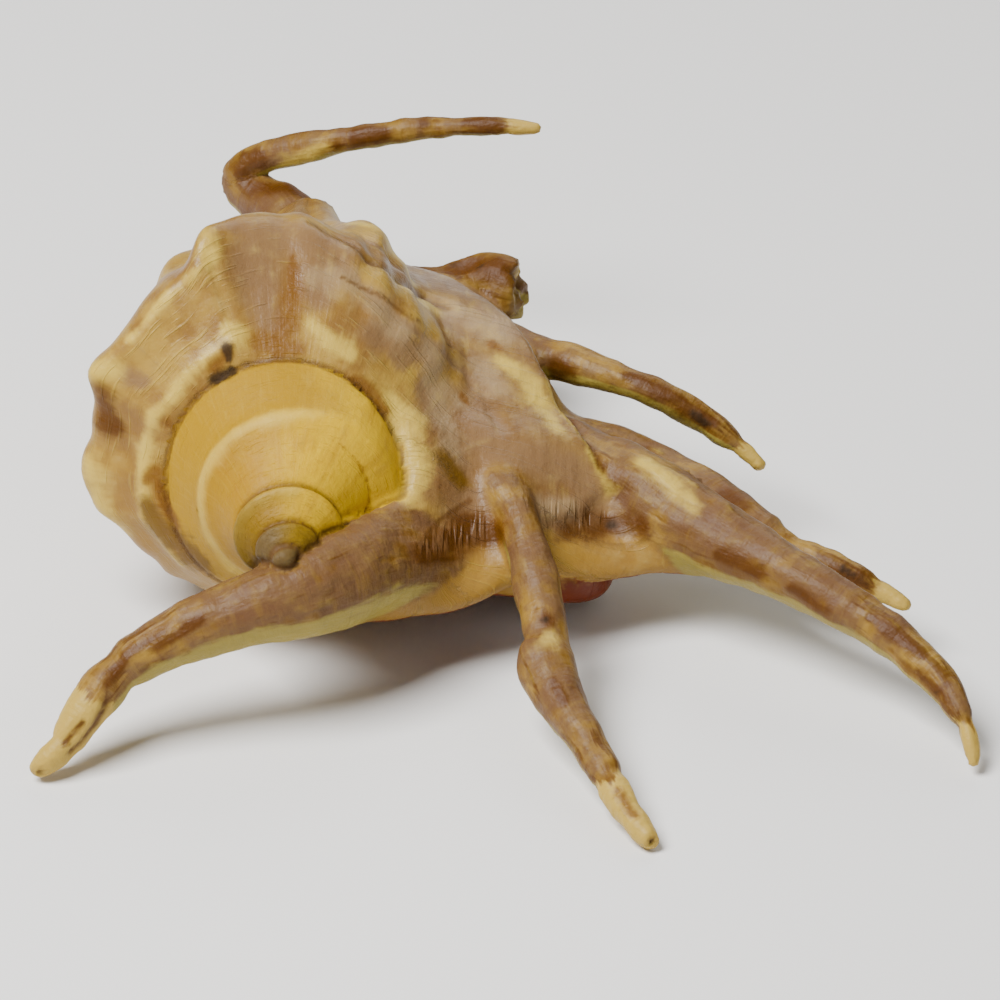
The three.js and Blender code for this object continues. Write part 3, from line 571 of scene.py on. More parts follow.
def on_spline(points, places):
    """Smooth line through an array of points along its first axis, and its direction, at places."""
    i = np.clip(places.astype(int), 0, len(points) - 2)
    s = (places - i).reshape([-1] + [1] * (points.ndim - 1))
    p1 = points[i]
    p2 = points[i + 1]
    v0 = (p2 - points[np.maximum(i - 1, 0)]) / 2
    v1 = (points[np.minimum(i + 2, len(points) - 1)] - p1) / 2
    square = 3 * (p2 - p1) - 2 * v0 - v1
    cubic = v0 + v1 - 2 * (p2 - p1)
    return p1 + s * (v0 + s * (square + s * cubic)), v0 + s * (2 * square + 3 * s * cubic)


def spline(points, count):
    points = np.asarray(points, float)
    return on_spline(points, np.linspace(0, len(points) - 1, count))[0]


def mix(ends, share):
    """From the first of two numbers at share 0 to the second at share 1."""
    return ends[0] + (ends[1] - ends[0]) * share


def bell(distance, width):
    return np.exp(-((distance / width) ** 2))


def ease(x, low, high):
    """0 below low, 1 above high and a smooth step between them."""
    s = np.clip((x - low) / (high - low), 0, 1)
    return s * s * (3 - 2 * s)


def fade(x, low, high):
    """1 below low, 0 above high and a smooth step between them."""
    return 1 - ease(x, low, high)


def soft_min(a, b, fillet):
    near = np.maximum(fillet - np.abs(a - b), 0) / fillet
    return np.minimum(a, b) - near * near * fillet / 4


def soft_max(a, b, fillet):
    return -soft_min(-a, -b, fillet)


def between(grid, a, b):
    """Value of a grid at places that are counted in its steps along both axes."""
    i = a.astype(np.int32)
    j = b.astype(np.int32)
    u = a - i
    v = b - j
    low = grid[i, j] * (1 - u) + grid[i + 1, j] * u
    high = grid[i, j + 1] * (1 - u) + grid[i + 1, j + 1] * u
    return low * (1 - v) + high * v


def round_axis(p):
    """Angle of each place round the coiling axis, how far out it is, and its depth below the apex."""
    return np.arctan2(p[:, 0], p[:, 2]), np.hypot(p[:, 0], p[:, 2]), p[:, 1]


def spire_profiles(turn):
    """Outline of the spire's whorl at each turn: suture, hollow ramp, sharp keel, next suture."""
    start = np.stack(look_up(SUTURE, turn), -1)
    keel_radius, keel_depth, cord = look_up(KEEL, turn)
    keel = np.stack([keel_radius, keel_depth], -1)
    end = np.stack(look_up(SUTURE, turn + 1), -1)
    hollow = (start + keel) / 2 + np.array([0, RAMP_HOLLOW]) * (keel - start)[..., :1]
    beside = mix([start, keel], KEEL_SHARPNESS)
    onward, swell = UNDER_KEEL
    below = mix([keel, end], onward) + [swell, 0]
    points = spline([start, hollow, beside, keel, below, end], PROFILE_POINTS)
    points[..., 0] += cord * bell(points[..., 1] - keel_depth, KEEL_WIDTH)
    return points


def body_profiles(turn):
    """Outline of the body whorl at each turn, from its suture to the end of the canal."""
    top_radius, top_depth = look_up(SUTURE, turn)
    radius, depth = look_up(SHOULDER, turn)
    whole = np.ones_like(radius)
    corners = [
        [top_radius, top_depth],
        [mix([top_radius, radius], RAMP_MIDDLE[0]), mix([top_depth, depth], RAMP_MIDDLE[1])],
        [radius, depth],
        *[[radius * share, depth + below] for share, below in FLANK],
        *[[end_radius * whole, end_depth * whole] for end_radius, end_depth in (NECK, CANAL_END)],
    ]
    points = spline([np.stack(corner, -1) for corner in corners], PROFILE_POINTS)
    for at, height, width, below, length in KNOBS:
        reach = bell(turn - at, width)[None] * bell(points[..., 1] - depth[None] - below, length)
        points[..., 0] += height * reach
    return points


class RoundTable:
    """Values over the way round the axis and the depth below the apex, read between their rows."""

    ANGLES = np.arange(ROUND_STEPS) / ROUND_STEPS  # in turns
    DEPTHS = np.arange(DEPTH_ROWS) * DEPTH_STEP

    def __init__(self, values):
        self.values = np.concatenate([values, values[:1]], 0).astype(np.float32)

    def read(self, angle, depth):
        a = np.minimum(angle / (2 * np.pi) % 1 * ROUND_STEPS, ROUND_STEPS - 0.001)
        return between(self.values, a, np.clip(depth / DEPTH_STEP, 0, DEPTH_ROWS - 1.001))


def coil_tables():
    """Radius of the coil, the turn seen there, how far from suture to shoulder it is, and the fillet."""
    depths = RoundTable.DEPTHS
    radius = np.zeros((ROUND_STEPS, DEPTH_ROWS))
    turns = np.full_like(radius, FIRST_TURN)
    ramp = np.zeros_like(radius)
    for lap in LAPS:
        turn = RoundTable.ANGLES + lap
        in_body = turn >= BODY_START
        spire = spire_profiles(np.maximum(turn, FIRST_TURN))
        body = body_profiles(turn)
        suture_depth = look_up(SUTURE, turn)[1]
        edge_depth = np.where(in_body, look_up(SHOULDER, turn)[1], look_up(KEEL, turn)[1])
        for k in np.flatnonzero((turn >= FIRST_TURN) & (turn <= LIP_TURN)):
            profile = body[:, k] if in_body[k] else spire[:, k]
            reach = (depths >= profile[0, 1]) & (depths <= profile[-1, 1])
            found = np.where(reach, np.interp(depths, profile[:, 1], profile[:, 0]), -1)
            wins = found > radius[k]
            radius[k, wins] = found[wins]
            turns[k, wins] = turn[k]
            below = (depths - suture_depth[k]) / max(edge_depth[k] - suture_depth[k], LEAST_RAMP)
            ramp[k, wins] = below[wins]
    on_body = ease(ramp, *COIL_FILLET_REACH) * (turns >= BODY_START)
    return radius, turns, ramp, mix(COIL_FILLET, on_body)


def mouth_tables():
    """Middle and half width of the hollow behind the mouth."""
    depths = RoundTable.DEPTHS
    angles = RoundTable.ANGLES
    turn = np.where(angles > MOUTH_OPPOSITE, angles - 1, angles)
    share = np.clip((turn - MOUTH_FRONT) / (MOUTH_BACK - MOUTH_FRONT), 0, 1)
    past_end = np.maximum(np.maximum(turn - MOUTH_FRONT, MOUTH_BACK - turn), 0)
    upper = mix(MOUTH_UPPER, share)
    lower = mix(MOUTH_LOWER, share)
    coil_turn = np.minimum(turn, LIP_TURN)
    inner = body_profiles(np.maximum(coil_turn - 1, BODY_START))
    outer = body_profiles(coil_turn)
    flare = MOUTH_FLARE * np.maximum(0, turn - LIP_TURN + MOUTH_FLARE_START)
    middle = np.zeros((ROUND_STEPS, DEPTH_ROWS))
    half = np.zeros_like(middle)
    for k in range(ROUND_STEPS):
        outside = np.interp(depths, outer[:, k, 1], outer[:, k, 0]) - MOUTH_WALL + flare[k]
        inside = np.interp(depths, inner[:, k, 1], inner[:, k, 0]) + MOUTH_GAP
        inside = np.minimum(inside, outside - MOUTH_LEAST)
        across = (depths - upper[k]) / (lower[k] - upper[k]) * 2 - 1
        opening = np.sqrt(np.clip(1 - across**4, 0, 1)) - 2 * np.maximum(np.abs(across) - 1, 0)
        middle[k] = (inside + outside) / 2
        half[k] = (outside - inside) / 2 * opening - MOUTH_END_SLOPE * past_end[k]
    return middle, half


class Sheet:
    """A height over x and y, drawn smoothly through given points and read from a fine grid."""

    STEP = 0.5
    MARGIN = 6
    SLACK = 0.4
    STEEPEST = 2.5

    def __init__(self, points, lowest=-np.inf):
        points = np.asarray(points, float)
        self.low = points[:, :2].min(0) - self.MARGIN
        size = np.ceil((points[:, :2].max(0) + self.MARGIN - self.low) / self.STEP).astype(int) + 1
        x, y = self.places(size)
        count = len(points)
        system = np.zeros((count + 3, count + 3))
        system[:count, :count] = self.kernel(points[:, None, :2] - points[None, :, :2])
        system[:count, count:] = np.c_[np.ones(count), points[:, :2]]
        system[count:, :count] = system[:count, count:].T
        system[:count, :count] += self.SLACK * np.eye(count)
        weights = np.linalg.solve(system, np.r_[points[:, 2], np.zeros(3)])
        height = weights[count] + weights[count + 1] * x + weights[count + 2] * y
        for (px, py, _), weight in zip(points, weights):
            height += weight * self.kernel(np.stack([x - px, y - py], -1))
        self.height = np.maximum(height, lowest).astype(np.float32)
        slopes = np.gradient(self.height, self.STEP)
        self.steepness = np.minimum(np.sqrt(1 + slopes[0] ** 2 + slopes[1] ** 2), self.STEEPEST)

    def places(self, size):
        return np.meshgrid(*[self.low[k] + self.STEP * np.arange(size[k]) for k in (0, 1)], indexing="ij")

    @staticmethod
    def kernel(offset):
        square = (offset**2).sum(-1)
        return square * np.log(square + 1e-9) / 2

    def distances(self, outline):
        """Signed distance to a closed outline, negative inside, on this sheet's grid."""
        x, y = self.places(self.height.shape)
        nearest = np.full(x.shape, np.inf, np.float32)
        inside = np.zeros(x.shape, bool)
        for (ax, ay), (bx, by) in zip(outline, np.roll(outline, -1, 0)):
            dx, dy = bx - ax, by - ay
            along = np.clip(((x - ax) * dx + (y - ay) * dy) / (dx * dx + dy * dy + 1e-9), 0, 1)
            nearest = np.minimum(nearest, (x - ax - along * dx) ** 2 + (y - ay - along * dy) ** 2)
            if abs(dy) > 1e-9:
                inside ^= ((ay > y) != (by > y)) & (x < ax + (y - ay) * dx / dy)
        return (np.where(inside, -1, 1) * np.sqrt(nearest)).astype(np.float32)

    def read(self, grid, x, y):
        a = np.clip((x - self.low[0]) / self.STEP, 0, grid.shape[0] - 1.001)
        b = np.clip((y - self.low[1]) / self.STEP, 0, grid.shape[1] - 1.001)
        return between(grid, a, b)

    def above(self, x, y, z):
        """How far a place lies above the sheet."""
        return (z - self.read(self.height, x, y)) / self.read(self.steepness, x, y)


class Limb:
    """A tapering round limb along a smooth line through points x, y, z, radius."""

    FAR = 12.0  # beyond this distance the exact distance doesn't matter
    STEPS = 2  # straight stretches that the nearest place is looked for on, between two points

    def __init__(self, points):
        self.points = np.asarray(points, float)
        self.last = len(points) - 1
        self.chain = spline(self.points, self.last * self.STEPS + 1)
        centres, radii = self.chain[:, :3], self.chain[:, 3:]
        self.low = (centres - radii).min(0) - self.FAR
        self.high = (centres + radii).max(0) + self.FAR
        pace = np.linalg.norm(np.diff(centres, axis=0), axis=1)
        self.run = np.concatenate([[0], np.cumsum(pace)])

    def place(self, p):
        """Nearest place along the line, counted in points from the root."""
        closest = np.full(len(p), np.inf)
        place = np.zeros(len(p))
        for i in range(len(self.chain) - 1):
            start, end = self.chain[i], self.chain[i + 1]
            along = end[:3] - start[:3]
            s = np.clip(((p - start[:3]) @ along) / (along @ along), 0, 1)
            gap = np.linalg.norm(p - start[:3] - s[:, None] * along, axis=1)
            gap -= start[3] + s * (end[3] - start[3])
            closer = gap < closest
            closest[closer] = gap[closer]
            place[closer] = (i + s[closer]) / self.STEPS
        for _ in range(2):
            centre, along = on_spline(self.points, place)
            step = ((p - centre[:, :3]) * along[:, :3]).sum(1) / (along[:, :3] ** 2).sum(1)
            place = np.clip(place + np.clip(step, -0.5, 0.5), 0, self.last)
        return place

    def distance(self, p):
        out = np.full(len(p), self.FAR)
        near = np.flatnonzero(((p > self.low) & (p < self.high)).all(1))
        if len(near):
            q = p[near]
            centre = on_spline(self.points, self.place(q))[0]
            out[near] = np.linalg.norm(q - centre[:, :3], axis=1) - centre[:, 3]
        return out

    def around(self, p):
        """For each place: mm still to go to the tip, mm to the side of the line and mm above it."""
        place = self.place(p)
        centre, along = on_spline(self.points, place)
        forward = along[:, :3] / np.linalg.norm(along[:, :3], axis=1, keepdims=True)
        side = np.stack([forward[:, 1], -forward[:, 0], np.zeros(len(p))], -1)
        side /= np.maximum(np.linalg.norm(side, axis=1, keepdims=True), 1e-6)
        up = np.cross(side, forward)
        offset = p - centre[:, :3]
        to_tip = self.run[-1] - np.interp(place * self.STEPS, np.arange(len(self.run)), self.run)
        return np.stack([to_tip, (offset * side).sum(1), (offset * up).sum(1)], -1)


class Lumps:
    """Smooth random heights through space, between about -1 and 1, the same each time."""

    def __init__(self, seed):
        self.lattice = np.random.default_rng(seed).uniform(-1, 1, [LATTICE] * 3)

    def read(self, p, size):
        q = p / size
        base = np.floor(q).astype(int)
        s = q - base
        s = s * s * (3 - 2 * s)
        total = np.zeros(len(p))
        for corner in np.ndindex(2, 2, 2):
            weight = np.where(corner, s, 1 - s).prod(1)
            total += weight * self.lattice[tuple(((base + corner) % LATTICE).T)]
        return total

    def layers(self, p, rows, apart=0):
        """Lumps of several sizes and heights, each layer drawn from its own part of space."""
        return sum(height * self.read(p + apart * k, size) for k, (size, height) in enumerate(rows))


class Shell:
    """The field of the whole shell, in millimetres in the shell's own frame."""

    def __init__(self):
        radius, turns, ramp, fillet = coil_tables()
        around = np.gradient(radius, 2 * np.pi / ROUND_STEPS, axis=0) / np.maximum(radius, 1)
        along = np.gradient(radius, DEPTH_STEP, axis=1)
        steepness = np.sqrt(1 + np.clip(along, -3, 3) ** 2 + np.clip(around, -1.5, 1.5) ** 2)
        coil = [RoundTable(values) for values in (radius, turns, ramp, fillet, steepness)]
        self.radius, self.turns, self.ramp, self.fillet, self.steepness = coil
        self.mouth_middle, self.mouth_half = [RoundTable(values) for values in mouth_tables()]
        self.make_lip()
        self.fingers = {name: Limb(points) for name, points in FINGERS.items()}
        self.rim = Limb([[*row[6], width] for row, width in zip(LIP, RIM_RADIUS)])
        self.trough = Limb(TROUGH)
        self.collar = Limb(COLLAR)
        self.nucleus = Limb(NUCLEUS)
        self.lumps = Lumps(SEED)

    def make_lip(self):
        root, saddle, crest, brow, near, margin, rim = np.moveaxis(spline(LIP, LIP_LINES), 1, 0)
        step = np.array([0, 0, PLATE_STEP])
        drop = np.array([0, 0, LIP_THICK])
        beside = np.c_[crest[:, :2], np.minimum(crest[:, 2], brow[:, 2] + CREST_ABOVE_BROW)]
        over_margin = margin + [0, 0, MARGIN_ABOVE]
        top = np.concatenate([root - step, saddle - step, beside, brow, near, over_margin])
        under = np.concatenate([root - drop * 2, rim, near - drop, margin - [0, 0, MARGIN_BELOW]])
        self.lip_top = Sheet(top[::2])
        self.lip_under = Sheet(under[::2], LIP_BOTTOM)
        self.plate_top = Sheet(np.concatenate([root[::2], saddle[::2], crest[::2], PLATE_TOP]))
        self.lip_reach = self.lip_top.distances(np.concatenate([margin[:, :2], root[::-1, :2]]))
        self.plate_reach = self.plate_top.distances(np.asarray(PLATE, float))

    def coil(self, p):
        angle, out, depth = round_axis(p)
        inside = (out - self.radius.read(angle, depth)) / self.steepness.read(angle, depth)
        whorls = np.maximum(inside, SUTURE[0][2] - depth)
        return soft_min(whorls, self.nucleus.distance(p), NUCLEUS_FILLET)

    def lip(self, p):
        x, y, z = p.T
        reach = self.plate_top.read(self.plate_reach, x, y)
        plate = soft_max(self.plate_top.above(x, y, z), reach, PLATE_EDGE)
        reach = self.lip_top.read(self.lip_reach, x, y)
        low = soft_max(self.lip_top.above(x, y, z), reach, MARGIN_EDGE)
        facing_spire = ease(24 - x - 0.2 * y, *FACING_SPIRE)
        top = soft_min(plate, low, mix(PLATE_FILLET, facing_spire))
        return soft_max(top, -self.lip_under.above(x, y, z), UNDER_EDGE)

    def mouth(self, p):
        angle, out, depth = round_axis(p)
        return np.abs(out - self.mouth_middle.read(angle, depth)) - self.mouth_half.read(angle, depth)

    def broken(self, p):
        """The broken finger: hollow along its back, and torn off across."""
        facing = np.array(BREAK_FACING)
        past = (p - BREAK_PLACE) @ facing / np.linalg.norm(facing)
        near = np.abs(past) < BREAK_REACH
        ragged = np.zeros(len(p))
        ragged[near] = self.lumps.layers(p[near], BREAK_LUMPS, 40)
        stub = soft_max(self.fingers["broken_finger"].distance(p), past - ragged, BREAK_EDGE)
        return soft_max(stub, -self.trough.distance(p), BREAK_EDGE)

    def __call__(self, p):
        p = p.astype(float)
        grown = soft_min(self.lip(p), self.rim.distance(p), RIM_FILLET)
        grown = soft_min(grown, self.collar.distance(p), COLLAR_FILLET)
        for name, limb in self.fingers.items():
            own = self.broken(p) if name == "broken_finger" else limb.distance(p)
            grown = soft_min(grown, own, FINGER_FINISH[name][0])
        angle, _, depth = round_axis(p)
        whole = soft_min(self.coil(p), grown, self.fillet.read(angle, depth))
        return soft_max(whole, -self.mouth(p), MOUTH_EDGE)


def grid_axes():
    """Places along x, y and z, closer together near the apex; each count fills whole blocks."""
    axes = []
    for low, high, fine_low, fine_high in zip(GRID_LOW, GRID_HIGH, FINE_LOW, FINE_HIGH):
        places = [low]
        while places[-1] < high or len(places) % BLOCK:
            fine = fine_low <= places[-1] < fine_high
            places.append(places[-1] + (FINE_STEP if fine else GRID_STEP))
        axes.append(np.array(places))
    return axes


def grid_values(field, axes):
    """The field on the grid, worked out in full only in the blocks that may hold the surface."""
    size = [len(places) for places in axes]
    middles = [places.reshape(-1, BLOCK).mean(1) for places in axes]
    centres = np.stack(np.meshgrid(*middles, indexing="ij"), -1).reshape(-1, 3)
    rough = field(centres).reshape([count // BLOCK for count in size])
    values = rough.repeat(BLOCK, 0).repeat(BLOCK, 1).repeat(BLOCK, 2).astype(np.float32)
    kept = np.argwhere(np.abs(rough) < BLOCK * GRID_STEP * 1.3)
    inner = np.stack(np.meshgrid(*[np.arange(BLOCK)] * 3, indexing="ij"), -1).reshape(-1, 3)
    for part in np.array_split(kept, max(1, len(kept) // BATCH)):
        at = (part[:, None] * BLOCK + inner).reshape(-1, 3)
        values[tuple(at.T)] = field(np.stack([axes[k][at[:, k]] for k in range(3)], -1))
    return values


def grid_skin(field):
    """Corners and square faces of the surface where the field changes sign."""
    axes = grid_axes()
    values = grid_values(field, axes)
    inside = values < 0
    count = np.zeros(np.array(values.shape) - 1, np.uint8)
    corners = list(np.ndindex(2, 2, 2))
    for a, b, c in corners:
        count += inside[a : a + count.shape[0], b : b + count.shape[1], c : c + count.shape[2]]
    cells = np.argwhere((count > 0) & (count < 8))
    number = np.full(count.shape, -1, np.int64)
    number[tuple(cells.T)] = np.arange(len(cells))
    total = np.zeros((len(cells), 3))
    hits = np.zeros(len(cells))
    for start in corners:
        for axis in np.flatnonzero(np.array(start) == 0):
            end = np.array(start)
            end[axis] = 1
            a = values[tuple((cells + start).T)]
            b = values[tuple((cells + end).T)]
            crossed = (a < 0) != (b < 0)
            share = np.where(crossed, a / np.where(crossed, a - b, 1), 0)
            total += (np.array(start) + share[:, None] * (end - start)) * crossed[:, None]
            hits += crossed
    share = total / hits[:, None]
    lows = np.stack([axes[k][cells[:, k]] for k in range(3)], -1)
    highs = np.stack([axes[k][cells[:, k] + 1] for k in range(3)], -1)
    points = lows * (1 - share) + highs * share
    faces = []
    for axis in range(3):
        u, v = [k for k in range(3) if k != axis]
        a = inside[tuple(slice(0, -1) if k == axis else slice(1, -1) for k in range(3))]
        b = inside[tuple(slice(1, None) if k == axis else slice(1, -1) for k in range(3))]
        edges = np.argwhere(a != b) + [0 if k == axis else 1 for k in range(3)]
        step_u, step_v = np.eye(3, dtype=int)[[u, v]]
        ring = [edges - step_u - step_v, edges - step_v, edges, edges - step_u]
        quad = np.stack([number[tuple(cell.T)] for cell in ring], -1)
        turned = inside[tuple(edges.T)] != (axis == 1)
        quad[~turned] = quad[~turned][:, ::-1]
        faces.append(quad)
    return points, np.concatenate(faces)


def slope(field, p, here):
    """Direction and rate of growth of the field."""
    return np.stack([(field(p + SLOPE_STEP * shift) - here) / SLOPE_STEP for shift in np.eye(3)], -1)


def settle(field, points, faces):
    """Evens out the skin's corners, puts them back on the surface, and gives the outward directions."""
    edges = np.concatenate([faces[:, [i, (i + 1) % 4]] for i in range(4)])
    ends = np.concatenate([edges, edges[:, ::-1]])
    count = np.bincount(ends[:, 0], minlength=len(points))
    for share in SETTLING:
        sums = [np.bincount(ends[:, 0], points[ends[:, 1], k], len(points)) for k in range(3)]
        points = (1 - share) * points + share * np.stack(sums, -1) / count[:, None]
        here = field(points)
        grade = slope(field, points, here)
        move = here / np.maximum((grade**2).sum(1), 0.25)
        points = points - np.clip(move, -LARGEST_MOVE, LARGEST_MOVE)[:, None] * grade
    return points, grade / np.maximum(np.linalg.norm(grade, axis=1, keepdims=True), 1e-6)


def closeness(line, p):
    """1 on a line through places x, y, z, half width, falling off to 0 beyond that width."""
    line = np.asarray(line, float)
    reach = 3 * line[:, 3].max()
    near = ((p > line[:, :3].min(0) - reach) & (p < line[:, :3].max(0) + reach)).all(1)
    q = p[near]
    best = np.zeros(len(q))
    for start, end in zip(line, np.concatenate([line[1:], line[-1:]])):
        along = end[:3] - start[:3]
        s = np.clip((q - start[:3]) @ along / (along @ along + 1e-9), 0, 1)
        gap = np.linalg.norm(q - start[:3] - s[:, None] * along, axis=1)
        best = np.maximum(best, bell(gap, start[3] + s * (end[3] - start[3])))
    out = np.zeros(len(p))
    out[near] = best
    return out


def nearest(lines, p):
    return np.max([closeness(line, p) for line in lines], axis=0)


def share_of(part, whole, blur):
    """1 where a part makes the surface, 0 where the others do, from their distances."""
    return 1 / (1 + np.exp(np.clip((part - whole) / blur, -30, 30)))


class Places:
    """Where on the shell each point of the skin lies."""

    def __init__(self, shell, p):
        angle, out, depth = round_axis(p)
        self.around = p[:, [0, 2]] / np.maximum(out, 0.3)[:, None]
        self.turn = shell.turns.read(angle, depth)
        self.ramp = shell.ramp.read(angle, depth)
        coil = shell.coil(p)
        self.fingers = {name: limb.distance(p) for name, limb in shell.fingers.items()}
        lip = np.minimum(shell.lip(p), shell.rim.distance(p))
        finger = np.min(list(self.fingers.values()), axis=0)
        grown = np.minimum(np.minimum(lip, finger), shell.collar.distance(p))
        self.on_coil = share_of(coil, grown, SKIN_BLUR)
        self.on_finger = share_of(finger, np.minimum(lip, coil), FINGER_BLUR)
        self.on_spire = fade(self.turn, *SPIRE_TO_BODY) * (coil < grown + 0.3)
        self.on_lip = (1 - self.on_coil) * (1 - self.on_finger) * ease(p[:, 2], *LIP_SIDE)
        self.in_mouth = fade(shell.mouth(p), *MOUTH_INSIDE)
        # The seam along the sutures and where the spire meets the parts over it is sunk and darkened,
        # partly painted shade
        suture = bell(self.suture_gap(angle, out, depth), SUTURE_WIDTH) * self.on_coil
        self.seam = np.maximum(suture, bell(coil - grown + 0.15, SUTURE_WIDTH) * self.on_spire)
        # a painted highlight along the keel, on the side away from the lip
        beside_keel = depth - look_up(KEEL, self.turn)[1]
        self.keel = bell(beside_keel, KEEL_HIGHLIGHT_WIDTH) * self.on_spire * fade(self.around[:, 0], *KEEL_HIGHLIGHT_SIDE)

    @staticmethod
    def suture_gap(angle, out, depth):
        """How far the nearest suture is, in mm."""
        gap = np.full(len(out), np.inf)
        for lap in LAPS:
            turn = (angle / (2 * np.pi)) % 1 + lap
            radius, low = look_up(SUTURE, turn)
            there = (turn > FIRST_TURN) & (turn < LIP_TURN)
            gap = np.where(there, np.minimum(gap, np.hypot(out - radius, depth - low)), gap)
        return gap


def relief(shell, p, places):
    """How far the surface stands out from the plain shape: lumps, growth folds, grooves and rings."""
    height = shell.lumps.layers(p, LUMPS) * (1 - 0.7 * places.on_spire)
    height += places.on_finger * shell.lumps.layers(p, FINGER_LUMPS)
    body = places.on_coil * (1 - places.on_spire)
    body *= ease(places.ramp, *BODY_FOLDS_START) * fade(p[:, 1], *BODY_TO_CANAL)
    wave = np.arctan2(places.around[:, 0], places.around[:, 1]) * GROWTH_FOLDS
    height += GROWTH_HEIGHT * body * np.sin(wave + 2 * shell.lumps.read(p, 6))
    for rise, line in FOLDS:
        height += rise * closeness(line, p)
    for name, at, rise, width in RINGS:
        near = np.flatnonzero(places.fingers[name] < FINGER_REACH)
        to_tip = shell.fingers[name].around(p[near])[:, 0]
        height[near] += rise * bell(to_tip - at, width) * places.on_finger[near]
    return height - SUTURE_GROOVE * places.seam


def finger_places(shell, p, places):
    """Along, to the side of and above the line of the nearest finger; its white end; its cream side."""
    nearest_finger = np.argmin(list(places.fingers.values()), axis=0)
    frame_place = np.zeros((len(p), 3))
    white, cream_side, near_end = np.zeros((3, len(p)))
    for number, (name, limb) in enumerate(shell.fingers.items()):
        _, white_end, cream_height = FINGER_FINISH[name]
        own = np.flatnonzero(nearest_finger == number)
        local = limb.around(p[own])
        frame_place[own] = local + [FINGER_APART * number, 0, 0]
        white[own] = fade(local[:, 0] - white_end, *WHITE_END)
        height = local[:, 2] / np.maximum(np.hypot(local[:, 1], local[:, 2]), 0.2)
        cream_side[own] = fade(height - cream_height, *CREAM_SIDE)
        near_end[own] = fade(local[:, 0], *FINGER_END)
    return frame_place, white * places.on_finger, cream_side * places.on_finger, near_end


def skin_values(shell, p, outward, places):
    """What the material reads at each point of the skin: groups of three values."""
    marks = {name: nearest(lines, p) for name, lines in MARKS.items()}
    frame_place, white, cream_side, near_end = finger_places(shell, p, places)
    under_lip = fade(outward[:, 2], *FACING_DOWN) * fade(p[:, 2], *LIP_UNDERSIDE) * (1 - places.on_finger)
    orange = np.maximum.reduce([marks["orange"], places.in_mouth, under_lip * (1 - places.on_coil)])
    early = (fade(places.turn, *FIRST_WHORLS) + fade(places.turn, *APEX_WHORLS)) / 2 * places.on_spire
    return {
        "growth": np.c_[places.around, places.ramp],
        "finger_place": frame_place,
        "zones": np.c_[places.on_spire, places.on_finger, orange],
        "pale": np.c_[marks["cream"], white, cream_side],
        "middling": np.c_[marks["mauve"], marks["grey"], marks["olive_shade"]],
        "dark": np.c_[marks["brown"], marks["stain"], np.maximum(places.seam, marks["seam"])],
        "other": np.c_[early, nearest(WRINKLES, p), near_end],
        "more": np.c_[places.keel, places.on_lip, marks["rust"]],
    }


def add_object(name, data):
    made = bpy.data.objects.new(name, data)
    bpy.context.scene.collection.objects.link(made)
    return made


def make_mesh(name, points, faces, values):
    """A smooth-shaded mesh object from points in metres, with values that its material reads."""
    mesh = bpy.data.meshes.new(name)
    mesh.from_pydata(points.tolist(), [], faces.tolist())
    mesh.shade_smooth()
    for key, vectors in values.items():
        layer = mesh.attributes.new(key, "FLOAT_VECTOR", "POINT")
        layer.data.foreach_set("vector", vectors.astype(np.float32).ravel())
    return add_object(name, mesh)


def into_frame(points):
    """Moves the points to where the solid stands, and draws them in where they reach beyond it."""
    low, high = (np.array(corner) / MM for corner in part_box("shell"))
    own_low, own_high = points.min(0), points.max(0)
    share = np.minimum(1, (high - low) / (own_high - own_low))
    shift = (low + high) / 2 - (own_low + own_high) / 2 * share
    shift[2] = low[2] - own_low[2] * share[2]
    return points * share + shift, shift


class Value:
    """A socket of the shader tree that can be reckoned with like a number."""

    tree = None

    def __init__(self, socket):
        self.socket = socket

    @classmethod
    def node(cls, kind, inputs, output=0, **settings):
        """The output of a new node. Its settings come first, then each input is set or linked."""
        made = cls.tree.nodes.new(kind)
        for name, setting in settings.items():
            setattr(made, name, setting)
        for name, value in inputs.items():
            if isinstance(value, cls):
                cls.tree.links.new(value.socket, made.inputs[name])
            else:
                made.inputs[name].default_value = value
        return cls(made.outputs[output])

    @classmethod
    def maths(cls, operation, *values):
        return cls.node("ShaderNodeMath", dict(enumerate(values)), operation=operation)

    def __add__(self, other):
        return self.maths("ADD", self, other)

    def __sub__(self, other):
        return self.maths("SUBTRACT", self, other)

    def __rsub__(self, other):
        return self.maths("SUBTRACT", other, self)

    def __mul__(self, other):
        return self.maths("MULTIPLY", self, other)

    __radd__ = __add__
    __rmul__ = __mul__

    def rise(self, low, high):
        """0 below low, 1 above high and a smooth step between them."""
        inputs = {"Value": self, "From Min": low, "From Max": high}
        return self.node("ShaderNodeMapRange", inputs, interpolation_type="SMOOTHSTEP")

    def times(self, factors):
        """A vector with each of its numbers multiplied."""
        return self.node("ShaderNodeVectorMath", {0: self, 1: factors}, operation="MULTIPLY")

    def parts(self):
        """The three numbers of a vector."""
        first = self.node("ShaderNodeSeparateXYZ", {"Vector": self})
        return [Value(output) for output in first.socket.node.outputs]

    def noise(self, pace, detail=2, roughness=0.5):
        """Soft noise over a vector; the pace is how fast it changes along each of its numbers."""
        inputs = {"Vector": self.times(pace), "Scale": 1, "Detail": detail, "Roughness": roughness}
        return self.node("ShaderNodeTexNoise", inputs)


def attribute(name):
    return Value.node("ShaderNodeAttribute", {}, output=1, attribute_name=name)


def over(colour, paint, amount):
    """A paint laid over a colour; amount 0 leaves the colour, 1 hides it."""
    inputs = {0: amount, 6: colour, 7: paint}
    return Value.node("ShaderNodeMix", inputs, output=2, data_type="RGBA")


def layered(colour, layers):
    """Paints laid over a colour one after another, each with its own amount."""
    for paint, amount in layers:
        colour = over(colour, paint, amount)
    return colour


